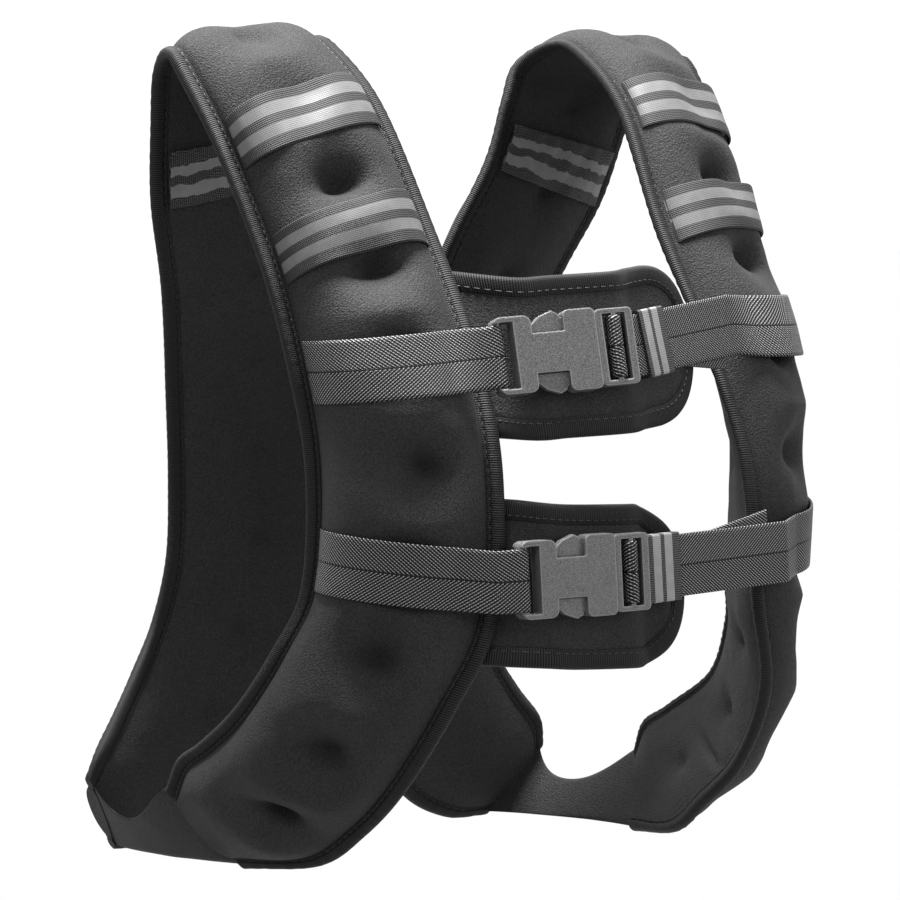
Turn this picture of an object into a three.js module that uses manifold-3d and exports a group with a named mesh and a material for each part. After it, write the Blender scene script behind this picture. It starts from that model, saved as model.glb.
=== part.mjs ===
// A weighted training vest in its worn shape. Two padded weight panels run from the ribs up the
// chest, over the shoulders and down the back, where a patch joins them. A plain side strip joins
// the two ends of each panel under the arm. Two webbing straps with side-release buckles close
// the chest over two thin pads.
// Millimetres, +Z up, +X the wearer's left, -Y the wearer's front. The origin lies midway between
// the two shoulder ridges, on the level of their undersides, where the vest sits on the wearer.

import * as THREE from "three";
import Module from "manifold-3d";

// Driving sizes of the whole vest
const SHOULDER_REACH = 128; // middle plane to the middle of a shoulder ridge
const CHEST_REACH = 125; // shoulder ridge line to the foremost middle of a panel
const PANEL_DROP = 390; // ridge underside to the ends of the panels
const GAP = 0.3; // between pieces that touch on the real vest

// Weight panels
const PANEL_WIDTH = 104; // edge to edge, both bindings included
const OUTER_BULGE = 29; // fullest height of the outer face above the seam
const INNER_BULGE = 5; // fullest depth of the inner face below the seam
const SEAM_THICK = 5; // where the two faces are sewn together
const BINDING_WIDTH = 8.5;
const BINDING_THICK = 6.4;
const TUFT_PITCH = 50; // distance between the stitched dents along a panel
const TUFT_START = 45; // front end of a panel to its first dent
const TUFT_SWAY = 0.2; // how far the first dents lie towards the inner edge, as a share of the half width
const TUFT_DEPTH = 11;
const TUFT_RADIUS = 17;
const INNER_TUFT_DEPTH = 2.5;
const STATION_STEP = TUFT_PITCH / 4;
const FRONT_SHARE = 0.46; // share of a panel's length that lies in front of the shoulder

// Side strips and back patch
const STRIP_THICK = 3;
const STRIP_BOW = 9; // how far a side strip bows away from the wearer
const STRIP_DIP = 0.5; // how far its upper edge dips, as a share of its width
const STRIP_SHARE = 0.94; // its ends' share of the width of the panel's ends
const PATCH_THICK = 3;
const PATCH_HEIGHT = 92;
const PATCH_LEVEL = 0.6; // middle of the patch as a share of PANEL_DROP

// Chest pads
const PAD_HEIGHT = 82;
const PAD_THICK = 4.5;
const PAD_CORNER = 36;
const PAD_TUCK = 16; // how far a pad reaches behind the right panel
const PAD_RIM_WIDTH = 10;
const PAD_RIM_THICK = 6;
const PAD_CLEAR = 1.8; // air between a pad and the buckle and keeper in front of it

// Webbing and elastic tape
const WEB_WIDTH = 31;
const WEB_THICK = 1.7;
const TAPE_WIDTH = 28;
const TAPE_THICK = 1.4;
const TAPE_LIFT = 1.4; // air between a tape and the padding that it crosses
const KEEPER_WIDTH = 23;
const KEEPER_THICK = 1.3;
const EDGE_LIFT = 15; // height at which a taut web leaves a panel, above the seam
const WEB_TURN_BACK = 5; // sewn end of the web behind the socket's bar
const TAIL_SHORT = 12; // the loose end behind the adjustable web stops this far from the panel

// Side-release buckles, lengths along the strap
const BUCKLE_HEIGHT = 40.5;
const BUCKLE_THICK = 9;
const FRAME_LENGTH = 20; // end that holds the sewn web
const NECK_LENGTH = 17; // open stretch with the prongs in view
const HEAD_LENGTH = 17; // closed stretch that the prongs enter
const LADDER_LENGTH = 20; // end of the prong half that the web adjusts through
const NECK_HEIGHT = 20;
const RAIL = 4; // bars and side rails of both halves
const BAR_THICK = 5; // where the web wraps
const SLOT_LENGTH = 6.5;
const LADDER_SLOT = 5;
const PRONG_THICK = 4;
const PRONG_HEIGHT = 6.5;

// A row for each section of a panel, from its front end over the shoulder to its back end.
// out, back and down place the middle of the section as shares of SHOULDER_REACH, CHEST_REACH and
// PANEL_DROP. turn and rise point from the inner edge to the outer edge, in degrees: turn swings
// it backwards, rise lifts it. wide is a share of PANEL_WIDTH, full is a share of the bulges.
const PANEL_SECTIONS = [
  { out: 1.137, back: 0.064, down: 0.996, turn: 44, rise: 45, wide: 0.56, full: 0.2 },
  { out: 1.088, back: -0.148, down: 0.971, turn: 59, rise: 34, wide: 0.89, full: 0.6 },
  { out: 1.07, back: -0.332, down: 0.938, turn: 59, rise: 27, wide: 0.95, full: 0.75 },
  { out: 1.072, back: -0.582, down: 0.88, turn: 57, rise: 24, wide: 0.94, full: 0.8 },
  { out: 1.01, back: -0.778, down: 0.789, turn: 59, rise: 17, wide: 0.96, full: 0.85 },
  { out: 0.905, back: -0.868, down: 0.69, turn: 56, rise: 8, wide: 0.98, full: 0.95 },
  { out: 0.892, back: -0.882, down: 0.526, turn: 48, rise: 0, wide: 0.95, full: 1.05 },
  { out: 0.91, back: -0.782, down: 0.387, turn: 32, rise: -7, wide: 0.92, full: 1.05 },
  { out: 0.93, back: -0.583, down: 0.244, turn: 17, rise: -12, wide: 0.91, full: 0.85 },
  { out: 0.974, back: -0.335, down: 0.092, turn: 12, rise: -14, wide: 0.92, full: 0.6 },
  { out: 0.995, back: -0.108, down: 0.01, turn: 4, rise: -10, wide: 0.93, full: 0.45 },
  { out: 0.984, back: 0.024, down: -0.014, turn: 1, rise: -4, wide: 0.94, full: 0.4 },
  { out: 0.915, back: 0.168, down: 0.0115, turn: 3, rise: -3, wide: 0.95, full: 0.42 },
  { out: 0.87, back: 0.22, down: 0.067, turn: 7, rise: -6, wide: 0.96, full: 0.5 },
  { out: 0.807, back: 0.288, down: 0.162, turn: 11, rise: -11, wide: 0.97, full: 0.65 },
  { out: 0.66, back: 0.4, down: 0.28, turn: 13, rise: -11, wide: 0.98, full: 0.8 },
  { out: 0.535, back: 0.535, down: 0.428, turn: 13, rise: -8, wide: 0.98, full: 0.8 },
  { out: 0.468, back: 0.605, down: 0.56, turn: 13, rise: 0, wide: 0.98, full: 0.8 },
  { out: 0.46, back: 0.64, down: 0.674, turn: 12, rise: 6, wide: 0.98, full: 0.8 },
  { out: 0.498, back: 0.705, down: 0.777, turn: 11, rise: 14, wide: 0.98, full: 0.8 },
  { out: 0.61, back: 0.77, down: 0.869, turn: 5, rise: 26, wide: 0.97, full: 0.8 },
  { out: 0.79, back: 0.82, down: 0.94, turn: -8, rise: 36, wide: 0.89, full: 0.7 },
  { out: 0.965, back: 0.822, down: 0.98, turn: -18, rise: 43, wide: 0.75, full: 0.5 },
  { out: 1.1, back: 0.84, down: 1.0, turn: -30, rise: 50, wide: 0.5, full: 0.2 },
];

// Levels of each strap at the panel edges that it crosses, as shares of PANEL_DROP. arch is how
// far the free stretch stands out in front of those edges, as a share of CHEST_REACH, and buckle
// is where the buckle begins, as a share of the stretch. lean tips the strap back, in degrees.
// padLevel is the pad's level at the right panel, padFall how far its free end hangs below the
// strap as a share of PAD_HEIGHT, padReach where it ends as a share of the adjustable web, and
// padSeat the air between the pad and the panel that it is sewn to, as a share of PAD_CLEAR.
// keeper is the web in view between ladder and keeper and tailTilt how far the tail's end climbs,
// both as shares of WEB_WIDTH.
const STRAPS = [
  { name: "upper", rightOuter: 0.4, rightInner: 0.384, leftInner: 0.35, leftOuter: 0.352,
    arch: 0.25, buckle: 0.02, lean: 11, keeper: 0.3, tailTilt: -0.2,
    padLevel: 0.378, padFall: 0.02, padReach: 0.71, padSeat: 0.1 },
  { name: "lower", rightOuter: 0.636, rightInner: 0.658, leftInner: 0.64, leftOuter: 0.607,
    arch: 0.13, buckle: 0.06, lean: 2, keeper: 0.1, tailTilt: 0.22,
    padLevel: 0.664, padFall: 0.12, padReach: 0.36, padSeat: 0.5 },
];

// Reflective tapes: side is 1 on the wearer's left, from and to are the levels at the inner and
// outer edge as shares of PANEL_DROP. The back tapes lie on the face towards the wearer.
const TAPES = [
  { name: "front_tape_top_right", side: -1, half: "front", from: 0.062, to: 0.115 },
  { name: "front_tape_low_right", side: -1, half: "front", from: 0.212, to: 0.262 },
  { name: "front_tape_top_left", side: 1, half: "front", from: 0.06, to: 0.085 },
  { name: "front_tape_low_left", side: 1, half: "front", from: 0.208, to: 0.222 },
  { name: "back_tape_right", side: -1, half: "back", from: 0.113, to: 0.158 },
  { name: "back_tape_left", side: 1, half: "back", from: 0.113, to: 0.158 },
];

const wasm = await Module();
wasm.setup();
const { Manifold, CrossSection } = wasm;

const neoprene = new THREE.MeshStandardMaterial({ color: 0x262626, roughness: 0.85 });
const ribbedBinding = new THREE.MeshStandardMaterial({ color: 0x1e1e1f, roughness: 0.8 });
const webbing = new THREE.MeshStandardMaterial({ color: 0x2e2e30, roughness: 0.7 });
const tape = new THREE.MeshStandardMaterial({ color: 0x77787a, roughness: 0.6 });
const plastic = new THREE.MeshStandardMaterial({ color: 0x3b3b3c, roughness: 0.55 });

const group = new THREE.Group();
group.name = "weighted_vest";

// Closed meshes

function addMesh(name, points, triangles, material) {
  let volume = 0;
  for (const [a, b, c] of triangles) {
    volume += points[a].dot(new THREE.Vector3().crossVectors(points[b], points[c]));
  }
  const geometry = new THREE.BufferGeometry();
  const positions = points.flatMap((p) => [p.x, p.y, p.z]);
  geometry.setAttribute("position", new THREE.Float32BufferAttribute(positions, 3));
  geometry.setIndex(triangles.flatMap(([a, b, c]) => (volume < 0 ? [a, c, b] : [a, b, c])));
  geometry.computeVertexNormals();
  const mesh = new THREE.Mesh(geometry, material);
  mesh.name = name;
  group.add(mesh);
  return mesh;
}

// A closed solid through rings of equal length, with a fan over each end.
function addLoft(name, rings, material) {
  const points = rings.flat();
  const count = rings[0].length;
  const triangles = [];
  for (let i = 0; i + 1 < rings.length; i++) {
    for (let j = 0; j < count; j++) {
      const a = i * count + j;
      const b = i * count + ((j + 1) % count);
      triangles.push([a, b, a + count], [b, b + count, a + count]);
    }
  }
  const last = (rings.length - 1) * count;
  for (let j = 1; j + 1 < count; j++) {
    triangles.push([0, j + 1, j], [last, last + j, last + j + 1]);
  }
  return addMesh(name, points, triangles, material);
}

function addManifold(name, solid, matrix, material) {
  const { vertProperties, triVerts } = solid.getMesh();
  const points = [];
  for (let i = 0; i < vertProperties.length; i += 3) {
    const p = new THREE.Vector3(vertProperties[i], vertProperties[i + 1], vertProperties[i + 2]);
    points.push(p.applyMatrix4(matrix));
  }
  const triangles = [];
  for (let i = 0; i < triVerts.length; i += 3) {
    triangles.push([triVerts[i], triVerts[i + 1], triVerts[i + 2]]);
  }
  return addMesh(name, points, triangles, material);
}

// Weight panels

function curveOf(vectors) {
  return new THREE.CatmullRomCurve3(vectors, false, "catmullrom", 0.5);
}

const middles = curveOf(
  PANEL_SECTIONS.map((row) =>
    new THREE.Vector3(row.out * SHOULDER_REACH, row.back * CHEST_REACH, -row.down * PANEL_DROP)),
);
const spans = curveOf(
  PANEL_SECTIONS.map((row) => {
    const elevation = THREE.MathUtils.degToRad(90 - row.rise);
    const azimuth = THREE.MathUtils.degToRad(90 - row.turn);
    const width = row.wide * PANEL_WIDTH;
    const span = new THREE.Vector3().setFromSphericalCoords(width, elevation, azimuth);
    return new THREE.Vector3(span.x, span.z, span.y);
  }),
);
const fullness = curveOf(PANEL_SECTIONS.map((row) => new THREE.Vector3(row.full, 0, 0)));
middles.arcLengthDivisions = 600;
const PANEL_LENGTH = middles.getLength();

// The section at a distance from the front end: its middle, the vector from inner to outer edge,
// the outward direction, and how full the padding is.
const sectionCache = new Map();
function sectionAt(distance) {
  if (!sectionCache.has(distance)) {
    const t = middles.getUtoTmapping(THREE.MathUtils.clamp(distance / PANEL_LENGTH, 0, 1));
    const span = spans.getPoint(t);
    const outward = new THREE.Vector3().crossVectors(span, middles.getTangent(t)).normalize();
    const full = fullness.getPoint(t).x;
    sectionCache.set(distance, { middle: middles.getPoint(t), span, outward, full });
  }
  return sectionCache.get(distance);
}

// A point of the panel on one side. across runs from -1 at the inner edge to 1 at the outer edge,
// and lift is the height above the seam.
function panelPoint(side, distance, across, lift) {
  const { middle, span, outward } = sectionAt(distance);
  const p = middle.clone().addScaledVector(span, across / 2).addScaledVector(outward, lift);
  p.x *= side;
  return p;
}

// Share of the half width at which the padded body stops and the binding begins.
function bodyShare(distance) {
  return 1 - (2 * (BINDING_WIDTH + GAP)) / sectionAt(distance).span.length();
}

function outerLift(distance, across) {
  const share = Math.min(1, Math.abs(across) / bodyShare(distance));
  const crown = Math.pow(1 - Math.pow(share, 2.4), 0.65);
  return SEAM_THICK / 2 + OUTER_BULGE * sectionAt(distance).full * crown;
}

function innerLift(distance, across) {
  const share = Math.min(1, Math.abs(across) / bodyShare(distance));
  return -SEAM_THICK / 2 - INNER_BULGE * sectionAt(distance).full * (1 - Math.pow(share, 3));
}

// How strongly the stitched dents pull the two faces together at a point, from 0 to 1.
function tuftPull(distance, across) {
  const nearest = TUFT_START + TUFT_PITCH * Math.round((distance - TUFT_START) / TUFT_PITCH);
  if (nearest < TUFT_START || nearest > PANEL_LENGTH - TUFT_START) return 0;
  const sway = TUFT_SWAY * Math.max(0, 1 - distance / (PANEL_LENGTH * FRONT_SHARE));
  const sideways = ((across + sway) * sectionAt(distance).span.length()) / 2;
  const away = Math.hypot(distance - nearest, sideways) / TUFT_RADIUS;
  return Math.exp(-2 * away * away) * Math.min(1, sectionAt(distance).full * 1.5);
}

const OUTER_STEPS = [-1, -0.94, -0.76, -0.42, 0, 0.42, 0.76, 0.94, 1];
const INNER_STEPS = [1, 0.7, 0, -0.7, -1];
const STATION_COUNT = Math.round(PANEL_LENGTH / STATION_STEP);
const stations = Array.from({ length: STATION_COUNT + 1 }, (_, i) => (i / STATION_COUNT) * PANEL_LENGTH);

function addPanel(name, side) {
  const rings = stations.map((distance) => {
    const body = bodyShare(distance);
    const outer = OUTER_STEPS.map((step) => {
      const lift = outerLift(distance, step * body) - TUFT_DEPTH * tuftPull(distance, step * body);
      return panelPoint(side, distance, step * body, lift);
    });
    const inner = INNER_STEPS.map((step) => {
      const lift = innerLift(distance, step * body) + INNER_TUFT_DEPTH * tuftPull(distance, step * body);
      return panelPoint(side, distance, step * body, lift);
    });
    return [...outer, ...inner];
  });
  return addLoft(name, rings, neoprene);
}

// A binding is a solid ribbed strip along one edge. edge is -1 for the inner edge and 1 for the
// outer one.
function addBinding(name, side, edge) {
  const half = BINDING_THICK / 2;
  const rings = stations.map((distance) => {
    const width = (2 * BINDING_WIDTH) / sectionAt(distance).span.length();
    const at = (share, lift) => panelPoint(side, distance, edge * (1 - share * width), lift);
    const upper = [at(1, half), at(0.3, half), at(0, half * 0.4)];
    const ring = [...upper, at(0, -half * 0.4), at(0.3, -half), at(1, -half)];
    return edge < 0 ? ring : ring.reverse();
  });
  return addLoft(name, rings, ribbedBinding);
}

// Distance along a panel at which a line along it passes a level. step is the line's share of the
// body's half width and lift is its height above the seam.
function distanceAtLevel(half, step, level, lift = () => 0) {
  const z = -level * PANEL_DROP;
  const ridge = half === "front" ? FRONT_SHARE : 1 - FRONT_SHARE;
  let low = half === "front" ? 0 : PANEL_LENGTH;
  let high = PANEL_LENGTH * ridge;
  for (let i = 0; i < 30; i++) {
    const distance = (low + high) / 2;
    const across = step * bodyShare(distance);
    if (panelPoint(1, distance, across, lift(distance, across)).z < z) low = distance;
    else high = distance;
  }
  return (low + high) / 2;
}

// Side strips

// A strip between the two ends of a panel, with a straight lower edge and a dip in the upper one.
function addSideStrip(name, side) {
  const steps = 8;
  const ends = [0, PANEL_LENGTH].map((distance) => {
    const { outward, span } = sectionAt(distance);
    const away = new THREE.Vector3().crossVectors(outward, span).setLength(3 * GAP);
    if (distance === 0) away.negate();
    const corner = (across) => panelPoint(1, distance, across * STRIP_SHARE, 0).add(away);
    return { lower: corner(-1), upper: corner(1), outward };
  });
  const rings = [];
  for (let i = 0; i <= steps; i++) {
    const t = i / steps;
    const lower = ends[0].lower.clone().lerp(ends[1].lower, t);
    const upper = ends[0].upper.clone().lerp(ends[1].upper, t);
    const outward = ends[0].outward.clone().lerp(ends[1].outward, t).normalize();
    upper.lerp(lower, STRIP_DIP * Math.sin(Math.PI * Math.pow(t, 1.5)));
    rings.push([[lower, 1], [upper, 1], [upper, -1], [lower, -1]].map(([edge, face]) => {
      const p = edge.clone().addScaledVector(outward, (face * STRIP_THICK) / 2);
      p.x = side * (p.x + STRIP_BOW * 4 * t * (1 - t));
      return p;
    }));
  }
  return addLoft(name, rings, neoprene);
}

// Back patch between the inner bindings of the two panels.
function addBackPatch(name) {
  const middle = distanceAtLevel("back", -1, PATCH_LEVEL);
  const steps = 6;
  const rings = [];
  for (let i = 0; i <= steps; i++) {
    const distance = middle + (i / steps - 0.5) * PATCH_HEIGHT;
    const edge = panelPoint(1, distance, -1, 0);
    const x = edge.x - 3 * GAP;
    rings.push([[-1, 1], [1, 1], [1, -1], [-1, -1]].map(([across, face]) =>
      new THREE.Vector3(across * x, edge.y + (face * PATCH_THICK) / 2, edge.z)));
  }
  return addLoft(name, rings, neoprene);
}

// Ribbons: flat bands through ribs that each hold a line across the band and an outward direction

function addRibbon(name, ribs, thick, material) {
  const rings = ribs.map(({ line, outward }) => {
    const face = line.map((p) => p.clone().addScaledVector(outward, thick));
    return [...line, ...face.reverse()];
  });
  return addLoft(name, rings, material);
}

function outwardAt(side, distance) {
  const { outward } = sectionAt(distance);
  return new THREE.Vector3(outward.x * side, outward.y, outward.z);
}

function addTape({ name, side, half, from, to }) {
  const lift = half === "front" ? outerLift : innerLift;
  const start = distanceAtLevel(half, -1, from, lift);
  const end = distanceAtLevel(half, 1, to, lift);
  const steps = half === "front" ? OUTER_STEPS : [-1, -0.7, 0, 0.7, 1];
  const ribs = steps.map((step) => {
    const distance = THREE.MathUtils.lerp(start, end, (step + 1) / 2);
    const across = step * bodyShare(distance);
    const face = lift(distance, across) + (half === "front" ? TAPE_LIFT : -TAPE_LIFT - TAPE_THICK);
    const at = (share) => panelPoint(side, distance + share * TAPE_WIDTH, across, face);
    const line = [-0.5, 0, 0.5].map(at);
    return { line, outward: outwardAt(side, distance) };
  });
  return addRibbon(name, ribs, TAPE_THICK, tape);
}

// Chest straps

// The free stretch of a strap between the two inner panel edges.
function freeStretch(strap) {
  const lift = () => EDGE_LIFT;
  const start = panelPoint(-1, distanceAtLevel("front", -1, strap.rightInner, lift), -1, EDGE_LIFT);
  const end = panelPoint(1, distanceAtLevel("front", -1, strap.leftInner, lift), -1, EDGE_LIFT);
  const at = (share) => {
    const p = start.clone().lerp(end, share);
    p.y -= strap.arch * CHEST_REACH * 4 * share * (1 - share);
    return p;
  };
  return { at, end };
}

// Frame of a straight piece of strap: x along it, y up, z away from the wearer. lean tips its
// upper side towards the wearer, in degrees.
function frameAlong(from, to, lean) {
  const x = to.clone().sub(from).normalize();
  const z = new THREE.Vector3().crossVectors(x, new THREE.Vector3(0, 0, 1)).normalize();
  z.applyAxisAngle(x, -THREE.MathUtils.degToRad(lean));
  const y = new THREE.Vector3().crossVectors(z, x);
  const matrix = new THREE.Matrix4().makeBasis(x, y, z).setPosition(from);
  const point = (along, out, up = 0) =>
    from.clone().addScaledVector(x, along).addScaledVector(y, up).addScaledVector(z, out);
  return { x, y, z, matrix, point, length: from.distanceTo(to) };
}

const SOCKET_LENGTH = FRAME_LENGTH + NECK_LENGTH + HEAD_LENGTH;
const BUCKLE_LENGTH = SOCKET_LENGTH + LADDER_LENGTH;

function buckleFrame(strap, stretch) {
  const start = stretch.at(strap.buckle);
  let share = strap.buckle;
  while (stretch.at(share).distanceTo(start) < BUCKLE_LENGTH) share += 0.001;
  const before = start.distanceTo(stretch.at(0));
  return { ...frameAlong(start, stretch.at(share), strap.lean), before };
}

function roundedRect(length, height, radius) {
  const core = CrossSection.square([length - 2 * radius, height - 2 * radius], true);
  return core.offset(radius, "Round", 2, 16);
}

function slab(section, thick) {
  return Manifold.extrude(section, thick).translate([0, 0, -thick / 2]);
}

function boxAt(x0, x1, halfHeight, thick, z = 0) {
  return Manifold.cube([x1 - x0, 2 * halfHeight, thick]).translate([x0, -halfHeight, z - thick / 2]);
}

// The web lies in a recess on both faces of a bar.
function barRecess(x0, x1) {
  const depth = BUCKLE_THICK - BAR_THICK;
  const half = WEB_WIDTH / 2 + 1;
  const z = BUCKLE_THICK / 2;
  return boxAt(x0, x1, half, depth, z).add(boxAt(x0, x1, half, depth, -z));
}

function socketHalf() {
  const half = BUCKLE_HEIGHT / 2;
  const neckEnd = FRAME_LENGTH + NECK_LENGTH;
  const frame = slab(roundedRect(FRAME_LENGTH, BUCKLE_HEIGHT - 2, 4), BUCKLE_THICK)
    .translate([FRAME_LENGTH / 2, 0, 0]);
  const neck = boxAt(FRAME_LENGTH - 3, neckEnd + 3, NECK_HEIGHT / 2, BUCKLE_THICK);
  const head = slab(roundedRect(HEAD_LENGTH, BUCKLE_HEIGHT, 3), BUCKLE_THICK)
    .translate([neckEnd + HEAD_LENGTH / 2, 0, 0]);
  const slot = boxAt(RAIL, RAIL + SLOT_LENGTH, half - RAIL + 0.5, BUCKLE_THICK + 2);
  const prongRoom = PRONG_THICK + 2 * GAP;
  const cavity = boxAt(FRAME_LENGTH - 3, SOCKET_LENGTH + 2, half - 3, prongRoom);
  const mouths = boxAt(FRAME_LENGTH - 3, FRAME_LENGTH + 1, half + 2, prongRoom);
  return frame.add(neck).add(head).subtract(slot).subtract(barRecess(-1, RAIL + 1))
    .subtract(cavity).subtract(mouths);
}

// The prong half, with two sprung prongs and a ladder of two slots for the adjustable web.
const LADDER_SLOTS = [RAIL, RAIL * 2 + SLOT_LENGTH / 2];
function prongHalf() {
  const half = BUCKLE_HEIGHT / 2;
  const neckEnd = FRAME_LENGTH + NECK_LENGTH;
  const inside = half - 3 - GAP;
  const start = SOCKET_LENGTH + GAP;
  let solid = slab(roundedRect(BUCKLE_LENGTH - start, BUCKLE_HEIGHT - 2, 2.5), BAR_THICK + 1.5)
    .translate([(start + BUCKLE_LENGTH) / 2, 0, 0]);
  for (const slot of LADDER_SLOTS) {
    const x0 = SOCKET_LENGTH + slot;
    solid = solid.subtract(boxAt(x0, x0 + LADDER_SLOT, half - RAIL + 0.5, BUCKLE_THICK));
  }
  for (const side of [-1, 1]) {
    const corners = [
      [SOCKET_LENGTH + 2, inside],
      [SOCKET_LENGTH + 2, inside - PRONG_HEIGHT],
      [neckEnd, inside - PRONG_HEIGHT],
      [FRAME_LENGTH, NECK_HEIGHT / 2 + 0.6],
      [FRAME_LENGTH - 1, NECK_HEIGHT / 2 + 3],
      [FRAME_LENGTH + 5, half - 2],
      [neckEnd - 5, half + 0.5],
      [neckEnd - 2, half - 1],
      [neckEnd - 0.5, inside],
    ];
    const outline = corners.map(([x, y]) => [x, side * y]);
    solid = solid.add(slab(new CrossSection(outline, "EvenOdd"), PRONG_THICK));
  }
  return solid;
}

// Ribs of a web over a panel, from near its outer edge to where it leaves the padding. The sewn
// end follows the panel's edge, and towards the inner edge the web stands upright and taut.
const WEB_STEPS = [0.98, 0.94, 0.76, 0.42, 0, -0.42, -0.76];
function webOverPanel(side, outerLevel, innerLevel) {
  return WEB_STEPS.map((step) => {
    const taut = step < 0 ? EDGE_LIFT : 0;
    const lift = (distance, across) => Math.max(outerLift(distance, across) + TAPE_LIFT, taut);
    const level = THREE.MathUtils.lerp(innerLevel, outerLevel, (step + 1) / 2);
    const edge = (up, lean) => {
      const z = level - (up * WEB_WIDTH) / PANEL_DROP;
      const distance = distanceAtLevel("front", step - up * lean, z, lift);
      const across = (step - up * lean) * bodyShare(distance);
      return { distance, point: panelPoint(side, distance, across, lift(distance, across)) };
    };
    const middle = edge(0, 0).distance;
    const along = edge(0.5, 0).point.sub(edge(-0.5, 0).point);
    const span = sectionAt(middle).span.clone();
    span.x *= side;
    const slant = (2 * along.dot(span)) / span.lengthSq() / bodyShare(middle);
    const lean = slant * ((1 - step) / 2);
    return { line: [-0.5, 0, 0.5].map((up) => edge(up, lean).point), outward: outwardAt(side, middle) };
  });
}

// A rib of a web beside a straight frame. tilt turns the outward side from z towards x.
function webRib(frame, along, out, tilt, up = 0) {
  const turn = THREE.MathUtils.degToRad(tilt);
  return {
    line: [-0.5, 0, 0.5].map((share) => frame.point(along, out, up + share * WEB_WIDTH)),
    outward: frame.z.clone().multiplyScalar(Math.cos(turn)).addScaledVector(frame.x, Math.sin(turn)),
  };
}

// The sewn web runs over the right panel and round the bar of the socket.
function addSewnWeb(strap, frame) {
  const face = BAR_THICK / 2 + GAP;
  const ribs = [
    ...webOverPanel(-1, strap.rightOuter, strap.rightInner),
    webRib(frame, -frame.before, 0, -25),
    webRib(frame, 0, face, 0),
    webRib(frame, RAIL, face, 0),
    webRib(frame, RAIL + GAP, face * 0.5, 90),
    webRib(frame, RAIL + GAP, -face * 0.5, 90),
    webRib(frame, RAIL, -face, 180),
    webRib(frame, RAIL - WEB_TURN_BACK, -face, 180),
  ];
  return addRibbon(`sewn_web_${strap.name}`, ribs, WEB_THICK, webbing);
}

// The adjustable web runs over the left panel, under the ladder's last bar, over its middle bar
// and back as a loose tail behind itself.
function addAdjustableWeb(strap, frame, lead) {
  const face = BAR_THICK / 2 + 0.75 + GAP;
  const bar = SOCKET_LENGTH + LADDER_SLOTS[0] + LADDER_SLOT;
  const barEnd = SOCKET_LENGTH + LADDER_SLOTS[1];
  const last = SOCKET_LENGTH + LADDER_SLOTS[1] + LADDER_SLOT;
  const under = -face - WEB_THICK;
  const tail = under - GAP;
  const ribs = [
    ...webOverPanel(1, strap.leftOuter, strap.leftInner),
    webRib(lead, lead.length, 0, 25),
    webRib(lead, lead.length / 2, 0, 0),
    webRib(lead, RAIL, 0, 0),
    webRib(frame, last + 1, under, 0),
    webRib(frame, last - 1, under, 20),
    webRib(frame, barEnd + 1.2, face - 1.2, 45),
    webRib(frame, barEnd, face, 0),
    webRib(frame, bar, face, 0),
    webRib(frame, bar - GAP, face - 1, -90),
    webRib(frame, bar - GAP, 1 - face, -90),
    webRib(frame, bar, -face, 180),
    webRib(frame, barEnd, -face, 180),
    webRib(frame, last + 1, tail, 180),
    webRib(lead, RAIL, -GAP, 180),
    webRib(lead, lead.length / 2, -GAP, 180),
    webRib(lead, lead.length - TAIL_SHORT, -GAP, 180, strap.tailTilt * WEB_WIDTH),
  ];
  return addRibbon(`adjustable_web_${strap.name}`, ribs, WEB_THICK, webbing);
}

// The keeper is an elastic loop round the web and its tail.
function addKeeper(strap, lead) {
  const room = 2 * WEB_THICK + 3 * GAP;
  const height = WEB_WIDTH + 2 * GAP;
  const inner = Manifold.cube([KEEPER_WIDTH + 2, height, room], true);
  const outer = Manifold.cube([KEEPER_WIDTH, height + 2 * KEEPER_THICK, room + 2 * KEEPER_THICK], true);
  const loop = outer.subtract(inner)
    .translate([strap.keeper * WEB_WIDTH + KEEPER_WIDTH / 2, 0, -GAP / 2]);
  return addManifold(`keeper_${strap.name}`, loop, lead.matrix, tape);
}

// Chest pads

// The middle line of a pad, from behind the right panel to its free end behind the strap, and its
// upward direction: along the panel's edge where it is sewn on, along the strap's where it is free.
function padLine(strap, frame, lead) {
  const lift = -(BINDING_THICK + PAD_RIM_THICK) / 2 - strap.padSeat * PAD_CLEAR;
  const edge = (step, level, depth) => {
    const distance = distanceAtLevel("front", step, level, () => depth);
    return panelPoint(-1, distance, step * bodyShare(distance), depth);
  };
  const row = (step, depth) => {
    const half = PAD_HEIGHT / 2 / PANEL_DROP;
    const ends = [-half, half].map((down) => edge(step, strap.padLevel + down, depth));
    return {
      middle: ends[0].clone().lerp(ends[1], 0.5),
      up: ends[0].clone().sub(ends[1]).divideScalar(PAD_HEIGHT),
    };
  };
  const body = bodyShare(distanceAtLevel("front", -1, strap.padLevel));
  const tucked = row((-1 + (2 * PAD_TUCK) / PANEL_WIDTH) / body, lift - INNER_BULGE / 2);
  const sewn = row(-1 / body, lift);
  const behindBuckle = -(BUCKLE_THICK + PAD_RIM_THICK) / 2 - PAD_CLEAR;
  const behindKeeper = -WEB_THICK - KEEPER_THICK - PAD_RIM_THICK / 2 - 2 * GAP - PAD_CLEAR;
  const fall = -strap.padFall * PAD_HEIGHT;
  const points = [
    tucked.middle,
    sewn.middle,
    frame.point(FRAME_LENGTH, behindBuckle, fall * 0.4),
    frame.point(FRAME_LENGTH + NECK_LENGTH, behindBuckle, fall * 0.6),
    frame.point(BUCKLE_LENGTH - RAIL, behindBuckle - WEB_THICK - GAP, fall * 0.8),
    lead.point(lead.length * strap.padReach * 0.35, behindKeeper - 4, fall * 0.9),
    lead.point(lead.length * strap.padReach * 0.7, behindKeeper - 0.5, fall),
    lead.point(lead.length * strap.padReach, behindKeeper, fall),
  ];
  return { curve: curveOf(points), ups: [tucked.up, sewn.up, frame.y] };
}

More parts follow.
